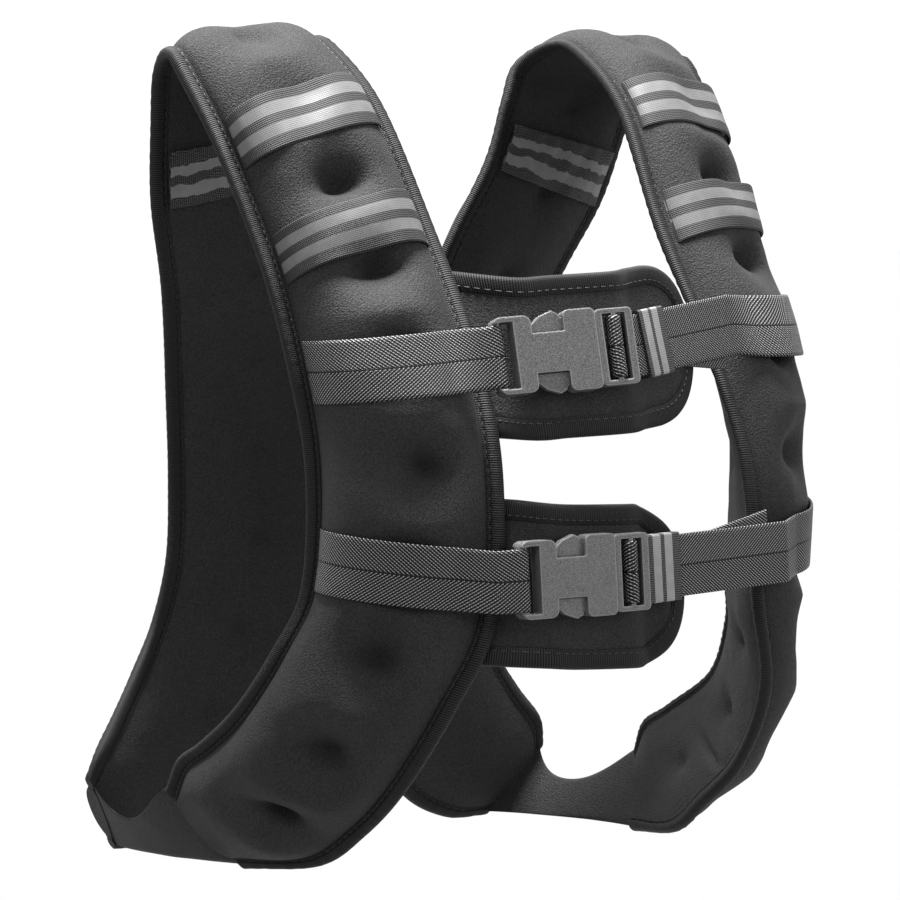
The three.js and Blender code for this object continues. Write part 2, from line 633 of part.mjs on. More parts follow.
function padPoint({ curve, ups }, along, up, out) {
  const share = THREE.MathUtils.clamp(along / curve.getLength(), 0, 1);
  const upward = ups[0].clone().lerp(ups[1], Math.min(1, along / PAD_TUCK));
  upward.lerp(ups[2], THREE.MathUtils.smoothstep(along, PAD_TUCK, PAD_TUCK * 3));
  const outward = new THREE.Vector3().crossVectors(curve.getTangentAt(share), upward).normalize();
  return curve.getPointAt(share).addScaledVector(upward, up).addScaledVector(outward, out);
}

function addPadBody(name, line) {
  const inset = PAD_RIM_WIDTH + 2 * GAP;
  const length = line.curve.getLength() - inset;
  const corner = PAD_CORNER - inset;
  const tall = PAD_HEIGHT / 2 - inset;
  const straight = 8;
  const turns = 4;
  const rings = [];
  for (let i = 0; i <= straight + turns; i++) {
    const angle = (Math.max(0, i - straight) / turns) * (Math.PI / 2);
    const along = Math.min(i / straight, 1) * (length - corner) + corner * Math.sin(angle);
    const half = tall - corner + corner * Math.cos(angle);
    const flat = half - 1.5;
    const t = PAD_THICK / 2;
    const front = [[-half, t * 0.3], [-flat, t], [flat, t], [half, t * 0.3]];
    const back = front.map(([up, out]) => [up, -out]).reverse();
    rings.push([...front, ...back].map(([up, out]) => padPoint(line, along, up, out)));
  }
  return addLoft(name, rings, neoprene);
}

function addPadRim(name, line) {
  const length = line.curve.getLength();
  const tall = PAD_HEIGHT / 2;
  const straight = 8;
  const turns = 6;
  const outline = [];
  for (let i = 0; i < straight; i++) {
    outline.push({ along: (i / straight) * (length - PAD_CORNER), up: -tall, in: [0, 1] });
  }
  for (const side of [-1, 1]) {
    for (let i = 0; i <= turns; i++) {
      const angle = ((side < 0 ? i : turns - i) / turns) * (Math.PI / 2);
      outline.push({
        along: length - PAD_CORNER + PAD_CORNER * Math.sin(angle),
        up: side * (tall - PAD_CORNER + PAD_CORNER * Math.cos(angle)),
        in: [-Math.sin(angle), -side * Math.cos(angle)],
      });
    }
  }
  for (let i = straight - 1; i >= 0; i--) {
    outline.push({ along: (i / straight) * (length - PAD_CORNER), up: tall, in: [0, -1] });
  }
  const t = PAD_RIM_THICK / 2;
  const profile = [[0, -0.4 * t], [0, 0.4 * t], [2, t], [PAD_RIM_WIDTH, t], [PAD_RIM_WIDTH, -t], [2, -t]];
  const rings = outline.map((spot) => profile.map(([inward, out]) =>
    padPoint(line, spot.along + spot.in[0] * inward, spot.up + spot.in[1] * inward, out)));
  return addLoft(name, rings, ribbedBinding);
}

// The assembly

for (const [word, side] of [["left", 1], ["right", -1]]) {
  addPanel(`weight_panel_${word}`, side);
  addBinding(`inner_binding_${word}`, side, -1);
  addBinding(`outer_binding_${word}`, side, 1);
  addSideStrip(`side_strip_${word}`, side);
}
addBackPatch("back_patch");
TAPES.forEach(addTape);

for (const strap of STRAPS) {
  const stretch = freeStretch(strap);
  const frame = buckleFrame(strap, stretch);
  const lead = frameAlong(frame.point(BUCKLE_LENGTH, -BAR_THICK), stretch.end, strap.lean);
  addManifold(`buckle_socket_${strap.name}`, socketHalf(), frame.matrix, plastic);
  addManifold(`buckle_prongs_${strap.name}`, prongHalf(), frame.matrix, plastic);
  addSewnWeb(strap, frame);
  addAdjustableWeb(strap, frame, lead);
  addKeeper(strap, lead);
  const line = padLine(strap, frame, lead);
  addPadBody(`chest_pad_${strap.name}`, line);
  addPadRim(`pad_rim_${strap.name}`, line);
}

export default group;
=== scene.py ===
# A weighted vest in its worn shape: two padded panels with ribbed bindings, reflective tapes, two
# webbing straps with side-release buckles and elastic keepers, and two bound chest pads.
# Shapes are in millimetres and turned into metres when a mesh is made.

import math

import bpy
import numpy as np
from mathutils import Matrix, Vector, noise


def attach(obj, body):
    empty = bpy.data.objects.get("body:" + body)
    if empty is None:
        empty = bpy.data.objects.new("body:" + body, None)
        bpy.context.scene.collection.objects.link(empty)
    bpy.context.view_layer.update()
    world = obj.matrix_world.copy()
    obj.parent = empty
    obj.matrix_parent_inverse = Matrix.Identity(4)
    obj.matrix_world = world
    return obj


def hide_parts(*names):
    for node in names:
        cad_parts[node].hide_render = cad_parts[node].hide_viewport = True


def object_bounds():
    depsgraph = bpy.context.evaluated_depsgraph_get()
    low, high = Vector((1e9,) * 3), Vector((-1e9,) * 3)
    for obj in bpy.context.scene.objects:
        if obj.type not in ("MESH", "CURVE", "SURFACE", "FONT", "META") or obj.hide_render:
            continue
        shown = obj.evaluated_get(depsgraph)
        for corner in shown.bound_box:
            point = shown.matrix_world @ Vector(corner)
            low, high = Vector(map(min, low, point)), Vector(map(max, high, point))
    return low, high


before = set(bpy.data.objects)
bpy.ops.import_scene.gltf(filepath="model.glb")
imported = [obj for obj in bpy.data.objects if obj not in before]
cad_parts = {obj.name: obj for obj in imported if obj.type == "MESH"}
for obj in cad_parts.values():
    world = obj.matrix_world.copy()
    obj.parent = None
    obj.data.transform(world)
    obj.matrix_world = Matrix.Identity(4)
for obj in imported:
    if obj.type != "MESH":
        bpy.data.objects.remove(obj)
cad_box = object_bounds()

MM = 0.001
SIDES = {"left": 1, "right": -1}

# Lengths in millimetres, shares and powers that the frame's solids were made with
SHOULDER_REACH = 128
CHEST_REACH = 125
PANEL_DROP = 390
GAP = 0.3
PANEL_WIDTH = 104
OUTER_BULGE = 29
OUTER_FLAT = 2.4
OUTER_ROUND = 0.65
INNER_BULGE = 5
INNER_FLAT = 3
SEAM_THICK = 5
BINDING_WIDTH = 8.5
BINDING_THICK = 6.4
FRONT_SHARE = 0.46
STRIP_THICK = 3
STRIP_BOW = 9
STRIP_DIP = 0.5
STRIP_DIP_LATE = 1.5
STRIP_SHARE = 0.94
PATCH_THICK = 3
PATCH_HEIGHT = 92
PATCH_LEVEL = 0.6
PAD_HEIGHT = 82
PAD_THICK = 4.5
PAD_CORNER = 36
PAD_TUCK = 16
PAD_RIM_WIDTH = 10
PAD_RIM_THICK = 6
PAD_CLEAR = 1.8
WEB_WIDTH = 31
WEB_THICK = 1.7
TAPE_WIDTH = 28
TAPE_THICK = 1.4
TAPE_LIFT = 1.4
KEEPER_WIDTH = 23
KEEPER_THICK = 1.3
EDGE_LIFT = 15
WEB_TURN_BACK = 5
TAIL_SHORT = 12
BUCKLE_THICK = 9
FRAME_LENGTH = 20
NECK_LENGTH = 17
HEAD_LENGTH = 17
LADDER_LENGTH = 20
RAIL = 4
BAR_THICK = 5
SLOT_LENGTH = 6.5
LADDER_SLOT = 5
LADDER_BAR_MORE = 0.75
SOCKET_LENGTH = FRAME_LENGTH + NECK_LENGTH + HEAD_LENGTH
BUCKLE_LENGTH = SOCKET_LENGTH + LADDER_LENGTH
LADDER_SLOTS = (RAIL, RAIL * 2 + SLOT_LENGTH / 2)

# A row for each section of a panel, from its front end over the shoulder to its back end: out, back
# and down place its middle as shares of the reaches and the drop, turn and rise point from the inner
# to the outer edge in degrees, wide is a share of the panel's width and full one of the bulges.
PANEL_SECTIONS = [
    (1.137, 0.064, 0.996, 44, 45, 0.56, 0.2),
    (1.088, -0.148, 0.971, 59, 34, 0.89, 0.6),
    (1.07, -0.332, 0.938, 59, 27, 0.95, 0.75),
    (1.072, -0.582, 0.88, 57, 24, 0.94, 0.8),
    (1.01, -0.778, 0.789, 59, 17, 0.96, 0.85),
    (0.905, -0.868, 0.69, 56, 8, 0.98, 0.95),
    (0.892, -0.882, 0.526, 48, 0, 0.95, 1.05),
    (0.91, -0.782, 0.387, 32, -7, 0.92, 1.05),
    (0.93, -0.583, 0.244, 17, -12, 0.91, 0.85),
    (0.974, -0.335, 0.092, 12, -14, 0.92, 0.6),
    (0.995, -0.108, 0.01, 4, -10, 0.93, 0.45),
    (0.984, 0.024, -0.014, 1, -4, 0.94, 0.4),
    (0.915, 0.168, 0.0115, 3, -3, 0.95, 0.42),
    (0.87, 0.22, 0.067, 7, -6, 0.96, 0.5),
    (0.807, 0.288, 0.162, 11, -11, 0.97, 0.65),
    (0.66, 0.4, 0.28, 13, -11, 0.98, 0.8),
    (0.535, 0.535, 0.428, 13, -8, 0.98, 0.8),
    (0.468, 0.605, 0.56, 13, 0, 0.98, 0.8),
    (0.46, 0.64, 0.674, 12, 6, 0.98, 0.8),
    (0.498, 0.705, 0.777, 11, 14, 0.98, 0.8),
    (0.61, 0.77, 0.869, 5, 26, 0.97, 0.8),
    (0.79, 0.82, 0.94, -8, 36, 0.89, 0.7),
    (0.965, 0.822, 0.98, -18, 43, 0.75, 0.5),
    (1.1, 0.84, 1.0, -30, 50, 0.5, 0.2),
]

# Strap levels at the panel edges are shares of the panel's drop, arch is a share of the chest's
# reach, buckle one of the free stretch, lean is in degrees, and keeper and tail_tilt are shares of
# the web's width. The pad's fall is a share of its height, its reach one of the lead and its seat
# one of its clearance.
STRAPS = {
    "upper": dict(
        right_outer=0.4, right_inner=0.384, left_inner=0.35, left_outer=0.352,
        arch=0.25, buckle=0.02, lean=11, keeper=0.3, tail_tilt=-0.2,
        pad_level=0.378, pad_fall=0.02, pad_reach=0.71, pad_seat=0.1,
    ),
    "lower": dict(
        right_outer=0.636, right_inner=0.658, left_inner=0.64, left_outer=0.607,
        arch=0.13, buckle=0.06, lean=2, keeper=0.1, tail_tilt=0.22,
        pad_level=0.664, pad_fall=0.12, pad_reach=0.36, pad_seat=0.5,
    ),
}

# Side, half of the panel, and levels at the inner and the outer edge
TAPES = {
    "front_tape_top_right": (-1, "front", 0.062, 0.115),
    "front_tape_low_right": (-1, "front", 0.212, 0.262),
    "front_tape_top_left": (1, "front", 0.06, 0.085),
    "front_tape_low_left": (1, "front", 0.208, 0.222),
    "back_tape_right": (-1, "back", 0.113, 0.158),
    "back_tape_left": (1, "back", 0.113, 0.158),
}

# The stitched pits lie this far apart up a panel, and their lower lips are this much steeper. On the
# front they sway inwards, and the pit near the middle of the chest lies further in, by shares of the
# panel's half width.
PIT_PITCH = 48
PIT_START = 54
PIT_STEEP = 2.1
PIT_BREADTH = 1.25
PIT_SWAY = 0.2
CHEST_PIT = 4
CHEST_SWAY = 0.17
CHEST_SPREAD = 45

# Depth and radius of hollows, in millimetres
BOWL = (8, 27)
PIT = (10.5, 11.5)
INNER_BOWL = (2.2, 17)
INNER_PIT = (2.4, 6)
TAPE_SAG = (4.5, 22)

# Folds of the inner face: distance up the panel and slant across it, then their depth and radius,
# and where across it they fade in
FOLDS = ((74, -6), (107, 14))
FOLD = (3, 4.5)
FOLD_FADE = (-0.4, 0.5)

# Height, size and seed of soft unevenness, lengths in millimetres
LUMPS = (1.5, 34, 3.7)
WRINKLES = (0.5, 13, 8.1)
INNER_LUMPS = (1, 40, 11.3)
INNER_WRINKLES = (0.35, 12, 4.4)
STRIP_WAVES = (0.9, 22, 5.5)
FRONT_CRUMPLE = (0.35, 10, 2.2)
BACK_CRUMPLE = (1.5, 10, 2.2)
PAD_WAVES = (0.35, 24, 9.1)

# Other relief: lengths in millimetres, and the rest as shares
PIT_SWELL = 0.9
LEAST_PADDING = 0.15
LEAST_INNER = 1.2
TAPE_PROUD = 1.6
PROUD_RISE = (0.2, 0.8)
PROUD_FALL = (0.9, 1)
SHEET_EDGE = 0.25
RIBBON_EDGE = 0.3
PUCKER = 0.22
BINDING_SWELL = 0.04
BINDING_SWELL_RUN = 9
PAD_EDGE = 0.3
PAD_EDGE_ROUND = 3
PAD_SWELL = 0.35
PAD_SWELL_REACH = (2, 22)
BUCKLE_ROUND = 0.6
# LIT_EDGE rounds the buckles' edges and also sets how wide their painted highlight is
LIT_EDGE = 1.4

# Weaves: pitches and the spine's half width in millimetres, and how steep the twill runs
BINDING_RIB = 1.05
BINDING_YARN = 0.8
TWILL = 2.3
TWILL_SLOPE = 1.35
WEB_STRAND = 1.0
WEB_PICK = 0.95
WEB_SPINE = 0.45
ELASTIC_RIB = 1.1
ELASTIC_ROW = 0.95

# Reflective stripes, each (from, to) across a tape in millimetres
STRIPES = [(-7.7, -1.8), (3.0, 8.9)]
WORN_STRIPES = [(-7.2, -2.4), (2.6, 8.6)]
KEEPER_STRIPES = [(-8.4, -2.6), (0.2, 6.0)]

# Camera and stage, in metres and degrees, with the lens and its sensor in millimetres
CAMERA_PLACE = (-1.9879, -2.3787, -0.050)
CAMERA_AZIMUTH = -40
CAMERA_PITCH = -2.8
CAMERA_LENS = 239.2
SENSOR_WIDTH = 36
CLIP_END = 1000
FLOOR_DROP = 8
FLOOR_SIZE = 400
FLOOR_SHADE = 0.93
WORLD_STRENGTH = 1.08

# Name, place, aim, size and power of each light
LIGHTS = [
    ("top", (-0.1, 0.2, 1.9), (0, 0, -0.1), 0.9, 420),
    ("key", (-2, -1, 1), (0, 0, -0.2), 0.8, 18),
    ("fill", (1.3, -2, 0.4), (0, 0, -0.2), 1, 25),
]


# Vectors and curves

TANGENT_STEP = 1e-4


def unit(v):
    return v / np.linalg.norm(v, axis=-1, keepdims=True)


def mix(a, b, share):
    return a + (b - a) * share


def smooth(x, low, high):
    t = np.clip((x - low) / (high - low), 0, 1)
    return t * t * (3 - 2 * t)


def bunched(count):
    """Places from -1 to 1 that lie closer towards both ends."""
    return np.sin(np.linspace(-1, 1, count) * math.pi / 2)


def together(*values):
    """The values as arrays of one shape."""
    return np.broadcast_arrays(*(np.asarray(value, float) for value in values))


def spline(points, t):
    """The Catmull-Rom curve through the points, at shares t of its run from point to point."""
    ends = np.vstack([2 * points[0] - points[1], points, 2 * points[-1] - points[-2]])
    place = np.clip(t, 0, 1) * (len(points) - 1)
    i = np.minimum(place.astype(int), len(points) - 2)
    w = (place - i)[..., None]
    p0, p1, p2, p3 = (ends[i + k] for k in range(4))
    m1 = (p2 - p0) / 2
    m2 = (p3 - p1) / 2
    cubic = 2 * p1 - 2 * p2 + m1 + m2
    square = -3 * p1 + 3 * p2 - 2 * m1 - m2
    return ((cubic * w + square) * w + m1) * w + p1


def steps_along(points):
    """Distances along a line of points."""
    return np.concatenate([[0], np.cumsum(np.linalg.norm(np.diff(points, axis=0), axis=1))])


def arc_table(points, steps=600):
    """Distances along the curve at even steps of its run."""
    return steps_along(spline(points, np.linspace(0, 1, steps + 1)))


# Weight panels

OUT, BACK, DOWN, TURN, RISE, WIDE, FULL = np.array(PANEL_SECTIONS, float).T
MIDDLES = np.stack([OUT * SHOULDER_REACH, BACK * CHEST_REACH, -DOWN * PANEL_DROP], 1)
TURN_ANGLE = np.radians(TURN)
RISE_ANGLE = np.radians(RISE)
LEVEL_SPAN = np.cos(RISE_ANGLE) * WIDE * PANEL_WIDTH
RISING_SPAN = np.sin(RISE_ANGLE) * WIDE * PANEL_WIDTH
SPANS = np.stack([LEVEL_SPAN * np.cos(TURN_ANGLE), LEVEL_SPAN * np.sin(TURN_ANGLE), RISING_SPAN], 1)
PANEL_ARC = arc_table(MIDDLES)
PANEL_LENGTH = PANEL_ARC[-1]


def section(distance):
    """Middle, span from inner to outer edge, outward direction and fullness at a distance."""
    t = np.interp(distance, PANEL_ARC, np.linspace(0, 1, len(PANEL_ARC)))
    span = spline(SPANS, t)
    ahead = spline(MIDDLES, np.minimum(t + TANGENT_STEP, 1))
    behind = spline(MIDDLES, np.maximum(t - TANGENT_STEP, 0))
    outward = unit(np.cross(span, ahead - behind))
    return spline(MIDDLES, t), span, outward, spline(FULL[:, None], t)[..., 0]


def panel_point(side, distance, across, lift):
    """Points at distances up a panel and shares of its half width, lifted off its middle sheet."""
    distance, across, lift = together(distance, across, lift)
    middle, span, outward, _ = section(distance)
    p = middle + span * across[..., None] / 2 + outward * lift[..., None]
    return p * [side, 1, 1]


def outward_at(side, distance):
    return section(distance)[2] * [side, 1, 1]


def span_length(distance):
    return np.linalg.norm(section(distance)[1], axis=-1)


def body_share(distance):
    return 1 - 2 * (BINDING_WIDTH + GAP) / span_length(distance)


def fullness(distance):
    return section(distance)[3]


def edge_share(distance, across):
    """How near a point lies to the edge of the padding, from 0 at the middle to 1 at the edge."""
    return np.minimum(1, np.abs(across) / body_share(distance))


def outer_lift(distance, across):
    rise = (1 - edge_share(distance, across) ** OUTER_FLAT) ** OUTER_ROUND
    return SEAM_THICK / 2 + OUTER_BULGE * fullness(distance) * rise


def inner_lift(distance, across):
    rise = 1 - edge_share(distance, across) ** INNER_FLAT
    return -SEAM_THICK / 2 - INNER_BULGE * fullness(distance) * rise


def at_height(height):
    """A lift that is the same all over."""
    return lambda distance, across: height + 0 * distance


def pit_offset(distance, across):
    """How far up the panel and how far across it a point lies from the nearest stitched pit."""
    nearest = PIT_START + PIT_PITCH * np.round((distance - PIT_START) / PIT_PITCH)
    last = PIT_START + PIT_PITCH * np.floor((PANEL_LENGTH - 2 * PIT_START) / PIT_PITCH)
    nearest = np.clip(nearest, PIT_START, last)
    sway = PIT_SWAY * np.maximum(0, 1 - distance / (PANEL_LENGTH * FRONT_SHARE))
    from_chest = distance - PIT_START - PIT_PITCH * CHEST_PIT
    sway = sway + CHEST_SWAY * np.exp(-(from_chest / CHEST_SPREAD) ** 2)
    up = (distance - nearest) * np.where(distance < PANEL_LENGTH * FRONT_SHARE, 1, -1)
    return up, (across + sway) * span_length(distance) / 2


def pit_away(distance, across):
    """Distance of a point of the panel from the nearest stitched pit."""
    return np.hypot(*pit_offset(distance, across))


def steep_pit_away(distance, across):
    """The same distance, stretched below the pit so that its lower lip is steep."""
    up, beside = pit_offset(distance, across)
    return np.hypot(np.where(up < 0, up * PIT_STEEP, up), beside / PIT_BREADTH)


def hollow(away, depth, radius):
    return depth * np.exp(-2 * (away / radius) ** 2)


def ripple(points, height, size, seed, shift=0):
    """Smooth noise up to a height at points in millimetres, with features of the given size."""
    flat = points.reshape(-1, 3) / size + seed + shift
    values = [noise.noise(Vector(p)) for p in flat]
    return height * np.array(values).reshape(points.shape[:-1])


def distance_at_level(half, step, level, lift):
    """Where a line along a panel, at a share of the body's half width, passes a level."""
    z = -np.asarray(level, float) * PANEL_DROP
    low = np.full(z.shape, 0.0 if half == "front" else PANEL_LENGTH)
    high = np.full(z.shape, PANEL_LENGTH * (FRONT_SHARE if half == "front" else 1 - FRONT_SHARE))
    for _ in range(30):
        distance = (low + high) / 2
        across = step * body_share(distance)
        below = panel_point(1, distance, across, lift(distance, across))[..., 2] < z
        low = np.where(below, distance, low)
        high = np.where(below, high, distance)
    return (low + high) / 2


# Meshes

def put(name, data):
    """A new object in the scene."""
    thing = bpy.data.objects.new(name, data)
    bpy.context.scene.collection.objects.link(thing)
    return thing


def add_piece(mesh, material, nodes=()):
    piece = put(mesh.name, mesh)
    mesh.materials.append(material)
    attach(piece, "root")
    if nodes:
        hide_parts(*nodes)
    return piece


def new_mesh(name, points, faces, weave=None):
    """A smooth closed mesh from points in millimetres, with its faces turned outwards."""
    mesh = bpy.data.meshes.new(name)
    mesh.from_pydata((points * MM).tolist(), [], faces)
    if weave is not None:
        layer = mesh.attributes.new("weave", "FLOAT_VECTOR", "CORNER")
        layer.data.foreach_set("vector", weave.reshape(-1))
    if signed_volume(mesh) < 0:
        mesh.flip_normals()
    mesh.shade_smooth()
    return mesh


def loft(name, rings, along, around=None, closed=False, sharp=50):
    """A closed skin through rings of points, capped at both ends unless the rings close on each
    other. along and around are the weave's coordinates of the rings and of the points in a ring."""
    n, m = rings.shape[:2]
    if around is None:
        around = np.arange(m + 1)
    i = np.arange(n if closed else n - 1)[:, None, None] + [0, 0, 1, 1]
    j = np.arange(m)[None, :, None] + [0, 1, 1, 0]
    faces = (i % n * m + j % m).reshape(-1, 4).tolist()
    weave = np.stack(np.broadcast_arrays(along[i], around[j], 0.0), -1).reshape(-1, 3)
    if not closed:
        faces.append(list(range(m))[::-1])
        faces.append(list(range((n - 1) * m, n * m)))
        weave = np.vstack([weave, np.zeros((2 * m, 3))])
    mesh = new_mesh(name, rings.reshape(-1, 3), faces, weave)
    mesh.set_sharp_from_angle(angle=math.radians(sharp))
    mesh.validate()
    return mesh


def signed_volume(mesh):
    """Six times a mesh's volume, below zero where its faces look inwards."""
    mesh.calc_loop_triangles()
    points = np.array([vertex.co for vertex in mesh.vertices])
    corners = np.array([triangle.vertices for triangle in mesh.loop_triangles])
    a, b, c = (points[corners[:, k]] - points.mean(axis=0) for k in range(3))
    return np.sum(a * np.cross(b, c))


def steps_round(points):
    """Distances round a closed line of points."""
    return steps_along(np.vstack([points, points[:1]]))


STITCH_RADIUS = 0.36
STITCH_SHARE = 0.66


def stitch_mesh(name, rows):
    """Threads that each lie along a row of points, in one mesh. A row is (points, outwards)."""
    turns = 6
    shares = np.array([-1, -0.72, 0.72, 1])
    fat = np.array([0.25, 1, 1, 0.25])
    angle = np.arange(turns) / turns * 2 * np.pi
    skin_faces = []
    for start in range(0, 3 * turns, turns):
        ring = [(start + k, start + (k + 1) % turns) for k in range(turns)]
        skin_faces += [(a, b, b + turns, a + turns) for a, b in ring]
    skin_faces += [range(turns)[::-1], range(3 * turns, 4 * turns)]
    verts = []
    faces = []
    for points, outwards in rows:
        run = np.diff(points, axis=0)
        outward = unit(outwards[:-1] + outwards[1:])
        beside = np.cross(unit(run), outward)
        middle, run, outward, beside = (
            v[:, None, None, :] for v in ((points[1:] + points[:-1]) / 2, run, outward, beside)
        )
        across = outward * np.sin(angle)[:, None] + beside * np.cos(angle)[:, None]
        skin = middle + run * shares[:, None, None] * STITCH_SHARE / 2
        skin = skin + across * fat[:, None, None] * STITCH_RADIUS
        for stitch in skin.reshape(len(middle), -1, 3):
            faces += [[len(verts) + k for k in face] for face in skin_faces]
            verts += stitch.tolist()
    return new_mesh(name, np.array(verts), faces)


# Materials

COOL = 1.02


def grey(level):
    """A grey with a faint cool cast."""
    return (level, level, level * COOL, 1)


class Look:
    """A material on a principled shader, with short calls for the nodes that it needs."""

    def __init__(self, name, roughness, specular=0.5, sheen=0.0, sheen_roughness=0.5):
        self.material = bpy.data.materials.new(name)
        self.material.use_nodes = True
        self.tree = self.material.node_tree
        self.sockets = self.tree.nodes["Principled BSDF"].inputs
        self.sockets["Roughness"].default_value = roughness
        self.sockets["Specular IOR Level"].default_value = specular
        self.sockets["Sheen Weight"].default_value = sheen
        self.sockets["Sheen Roughness"].default_value = sheen_roughness

    def feed(self, socket, value):
        """Links another node's output to a socket, or sets a value on it."""
        if isinstance(value, bpy.types.NodeSocket):
            self.tree.links.new(value, socket)
        elif value is not None:
            socket.default_value = value

    def node(self, kind, values=(), **settings):
        """A node with values for its sockets, in their order or by their names."""
        node = self.tree.nodes.new(kind)
        for key, value in settings.items():
            setattr(node, key, value)
        for key, value in values.items() if isinstance(values, dict) else enumerate(values):
            self.feed(node.inputs[key], value)
        return node

    def math(self, operation, *values):
        return self.node("ShaderNodeMath", values, operation=operation).outputs[0]

    def weave(self):
        """Millimetres along and across a woven piece."""
        attribute = self.node("ShaderNodeAttribute", attribute_name="weave")
        parts = self.node("ShaderNodeSeparateXYZ", [attribute.outputs["Vector"]])
        return parts.outputs[0], parts.outputs[1]

    def noise(self, scale, detail=3.0, rough=0.5):
        """Noise on the object's own coordinates. scale is in features a metre."""
        place = self.node("ShaderNodeTexCoord").outputs["Object"]
        values = dict(Vector=place, Scale=scale, Detail=detail, Roughness=rough)
        return self.node("ShaderNodeTexNoise", values).outputs["Fac"]

    def ramp(self, value, *stops):
        """A grey ramp through (place, level) stops."""
        ramp = self.node("ShaderNodeValToRGB", [value])
        elements = ramp.color_ramp.elements
        while len(elements) < len(stops):
            elements.new(0.5)
        for element, (place, level) in zip(elements, stops):
            element.position = place
            element.color = (level, level, level, 1)
        return ramp.outputs[0]

    def blend(self, share, first, second, mode="MIX"):
        node = self.node("ShaderNodeMix", data_type="RGBA", blend_type=mode)
        for socket, value in zip([s for s in node.inputs if s.enabled], (share, first, second)):
            self.feed(socket, value)
        return next(s for s in node.outputs if s.enabled)

    def color(self, value):
        self.tree.links.new(value, self.sockets["Base Color"])

    def rough(self, value):
        self.tree.links.new(value, self.sockets["Roughness"])

    def bump(self, *layers, normal=None):
        """Bumps of (height, depth in metres, strength), one over the other, on a first normal."""
        for height, depth, strength in layers:
            values = dict(Strength=strength, Distance=depth, Height=height, Normal=normal)
            normal = self.node("ShaderNodeBump", values).outputs["Normal"]
        self.tree.links.new(normal, self.sockets["Normal"])


def neoprene_look():
    look = Look("neoprene", 0.6, specular=0.06, sheen=0.02, sheen_roughness=0.3)
    cloud = look.noise(28, 3)
    grain = look.noise(1150, 2, 0.6)
    pile = look.noise(420, 4, 0.65)
    tone = look.blend(cloud, grey(0.018), grey(0.027))
    speck = look.ramp(grain, (0.36, 0.45), (0.66, 1.0))
    look.color(look.blend(1.0, tone, speck, "MULTIPLY"))
    look.rough(look.ramp(pile, (0.3, 0.54), (0.75, 0.7)))
    look.bump((pile, 0.0005, 0.4), (grain, 0.0009, 1.0))
    return look.material


def wave(look, place, pitch):
    """A sine from 0 to 1 along a coordinate, with the given pitch."""
    angle = look.math("MULTIPLY", place, 2 * math.pi / pitch)
    return look.math("MULTIPLY_ADD", look.math("SINE", angle), 0.5, 0.5)


def binding_look():
    look = Look("ribbed_binding", 0.55, specular=0.07, sheen=0.01, sheen_roughness=0.4)
    along, across = look.weave()
    ribs = wave(look, along, BINDING_RIB)
    yarn = wave(look, across, BINDING_YARN)
    fuzz = look.noise(900, 3)
    # Painted shade: the colour darkens in the grooves between the ribs and is lighter on their tops.
    look.color(look.blend(ribs, grey(0.001), grey(0.017)))
    look.bump((fuzz, 0.0002, 0.3), (yarn, 0.00015, 0.3), (ribs, 0.0003, 0.8))
    return look.material


def webbing_look():
    look = Look("herringbone_webbing", 0.4, specular=0.14)
    along, across = look.weave()
    offset = look.math("ABSOLUTE", across)
    diagonal = look.math("MULTIPLY_ADD", offset, TWILL_SLOPE, along)
    twill = wave(look, diagonal, TWILL)
    strands = wave(look, across, WEB_STRAND)
    picks = wave(look, along, WEB_PICK)
    spine = look.math("LESS_THAN", offset, WEB_SPINE)
    yarns = look.math("MULTIPLY", strands, picks)
    height = look.math("MULTIPLY_ADD", yarns, 0.35, twill)
    height = look.math("SUBTRACT", height, look.math("MULTIPLY", spine, 0.6))
    fuzz = look.noise(700, 3)
    # Painted glints and shade: the colour follows the weave's height, light on the raised twill and dark
    # between the yarns and along the sunken spine.
    tone = look.ramp(look.math("MULTIPLY", height, 0.7), (0.46, 0.0003), (0.62, 0.009), (0.84, 0.3))
    look.color(look.blend(look.math("MULTIPLY", fuzz, 0.2), tone, grey(0.012)))
    look.rough(look.ramp(twill, (0.1, 0.7), (0.9, 0.34)))
    look.bump((fuzz, 0.0001, 0.3), (height, 0.00035, 0.7))
    return look.material


def striped_look(name, stripes, bright=1.0, warp=0.0):
    """Ribbed elastic with reflective stripes that wander by up to half of warp, in millimetres."""
    look = Look(name, 0.6, specular=0.16)
    along, across = look.weave()
    wander = look.math("SUBTRACT", look.noise(110, 3, 0.6), 0.5)
    across = look.math("MULTIPLY_ADD", wander, warp, across)
    ribs = wave(look, along, ELASTIC_RIB)
    rows = wave(look, across, ELASTIC_ROW)
    marks = None
    for low, high in stripes:
        above = look.math("GREATER_THAN", across, low)
        inside = look.math("MULTIPLY", above, look.math("LESS_THAN", across, high))
        marks = inside if marks is None else look.math("MAXIMUM", marks, inside)
    # Painted shade: between the stripes, the elastic darkens in the grooves between its ribs and rows and is
    # lighter on their tops.
    cloth_with_groove_shade = look.blend(look.math("MULTIPLY", ribs, rows), grey(0.0012 * bright), grey(0.05 * bright))
    wear = look.noise(160, 4, 0.6)
    silver = look.blend(wear, grey(0.0505 * bright), grey(0.086 * bright))
    look.color(look.blend(marks, cloth_with_groove_shade, silver))
    look.rough(look.math("MULTIPLY_ADD", marks, -0.12, 0.6))
    soft = look.math("SUBTRACT", 1.0, look.math("MULTIPLY", marks, 0.75))
    weave = look.math("MULTIPLY", look.math("MAXIMUM", ribs, rows), soft)
    look.bump((marks, 0.00025, 0.6), (weave, 0.0004, 0.7))
    return look.material


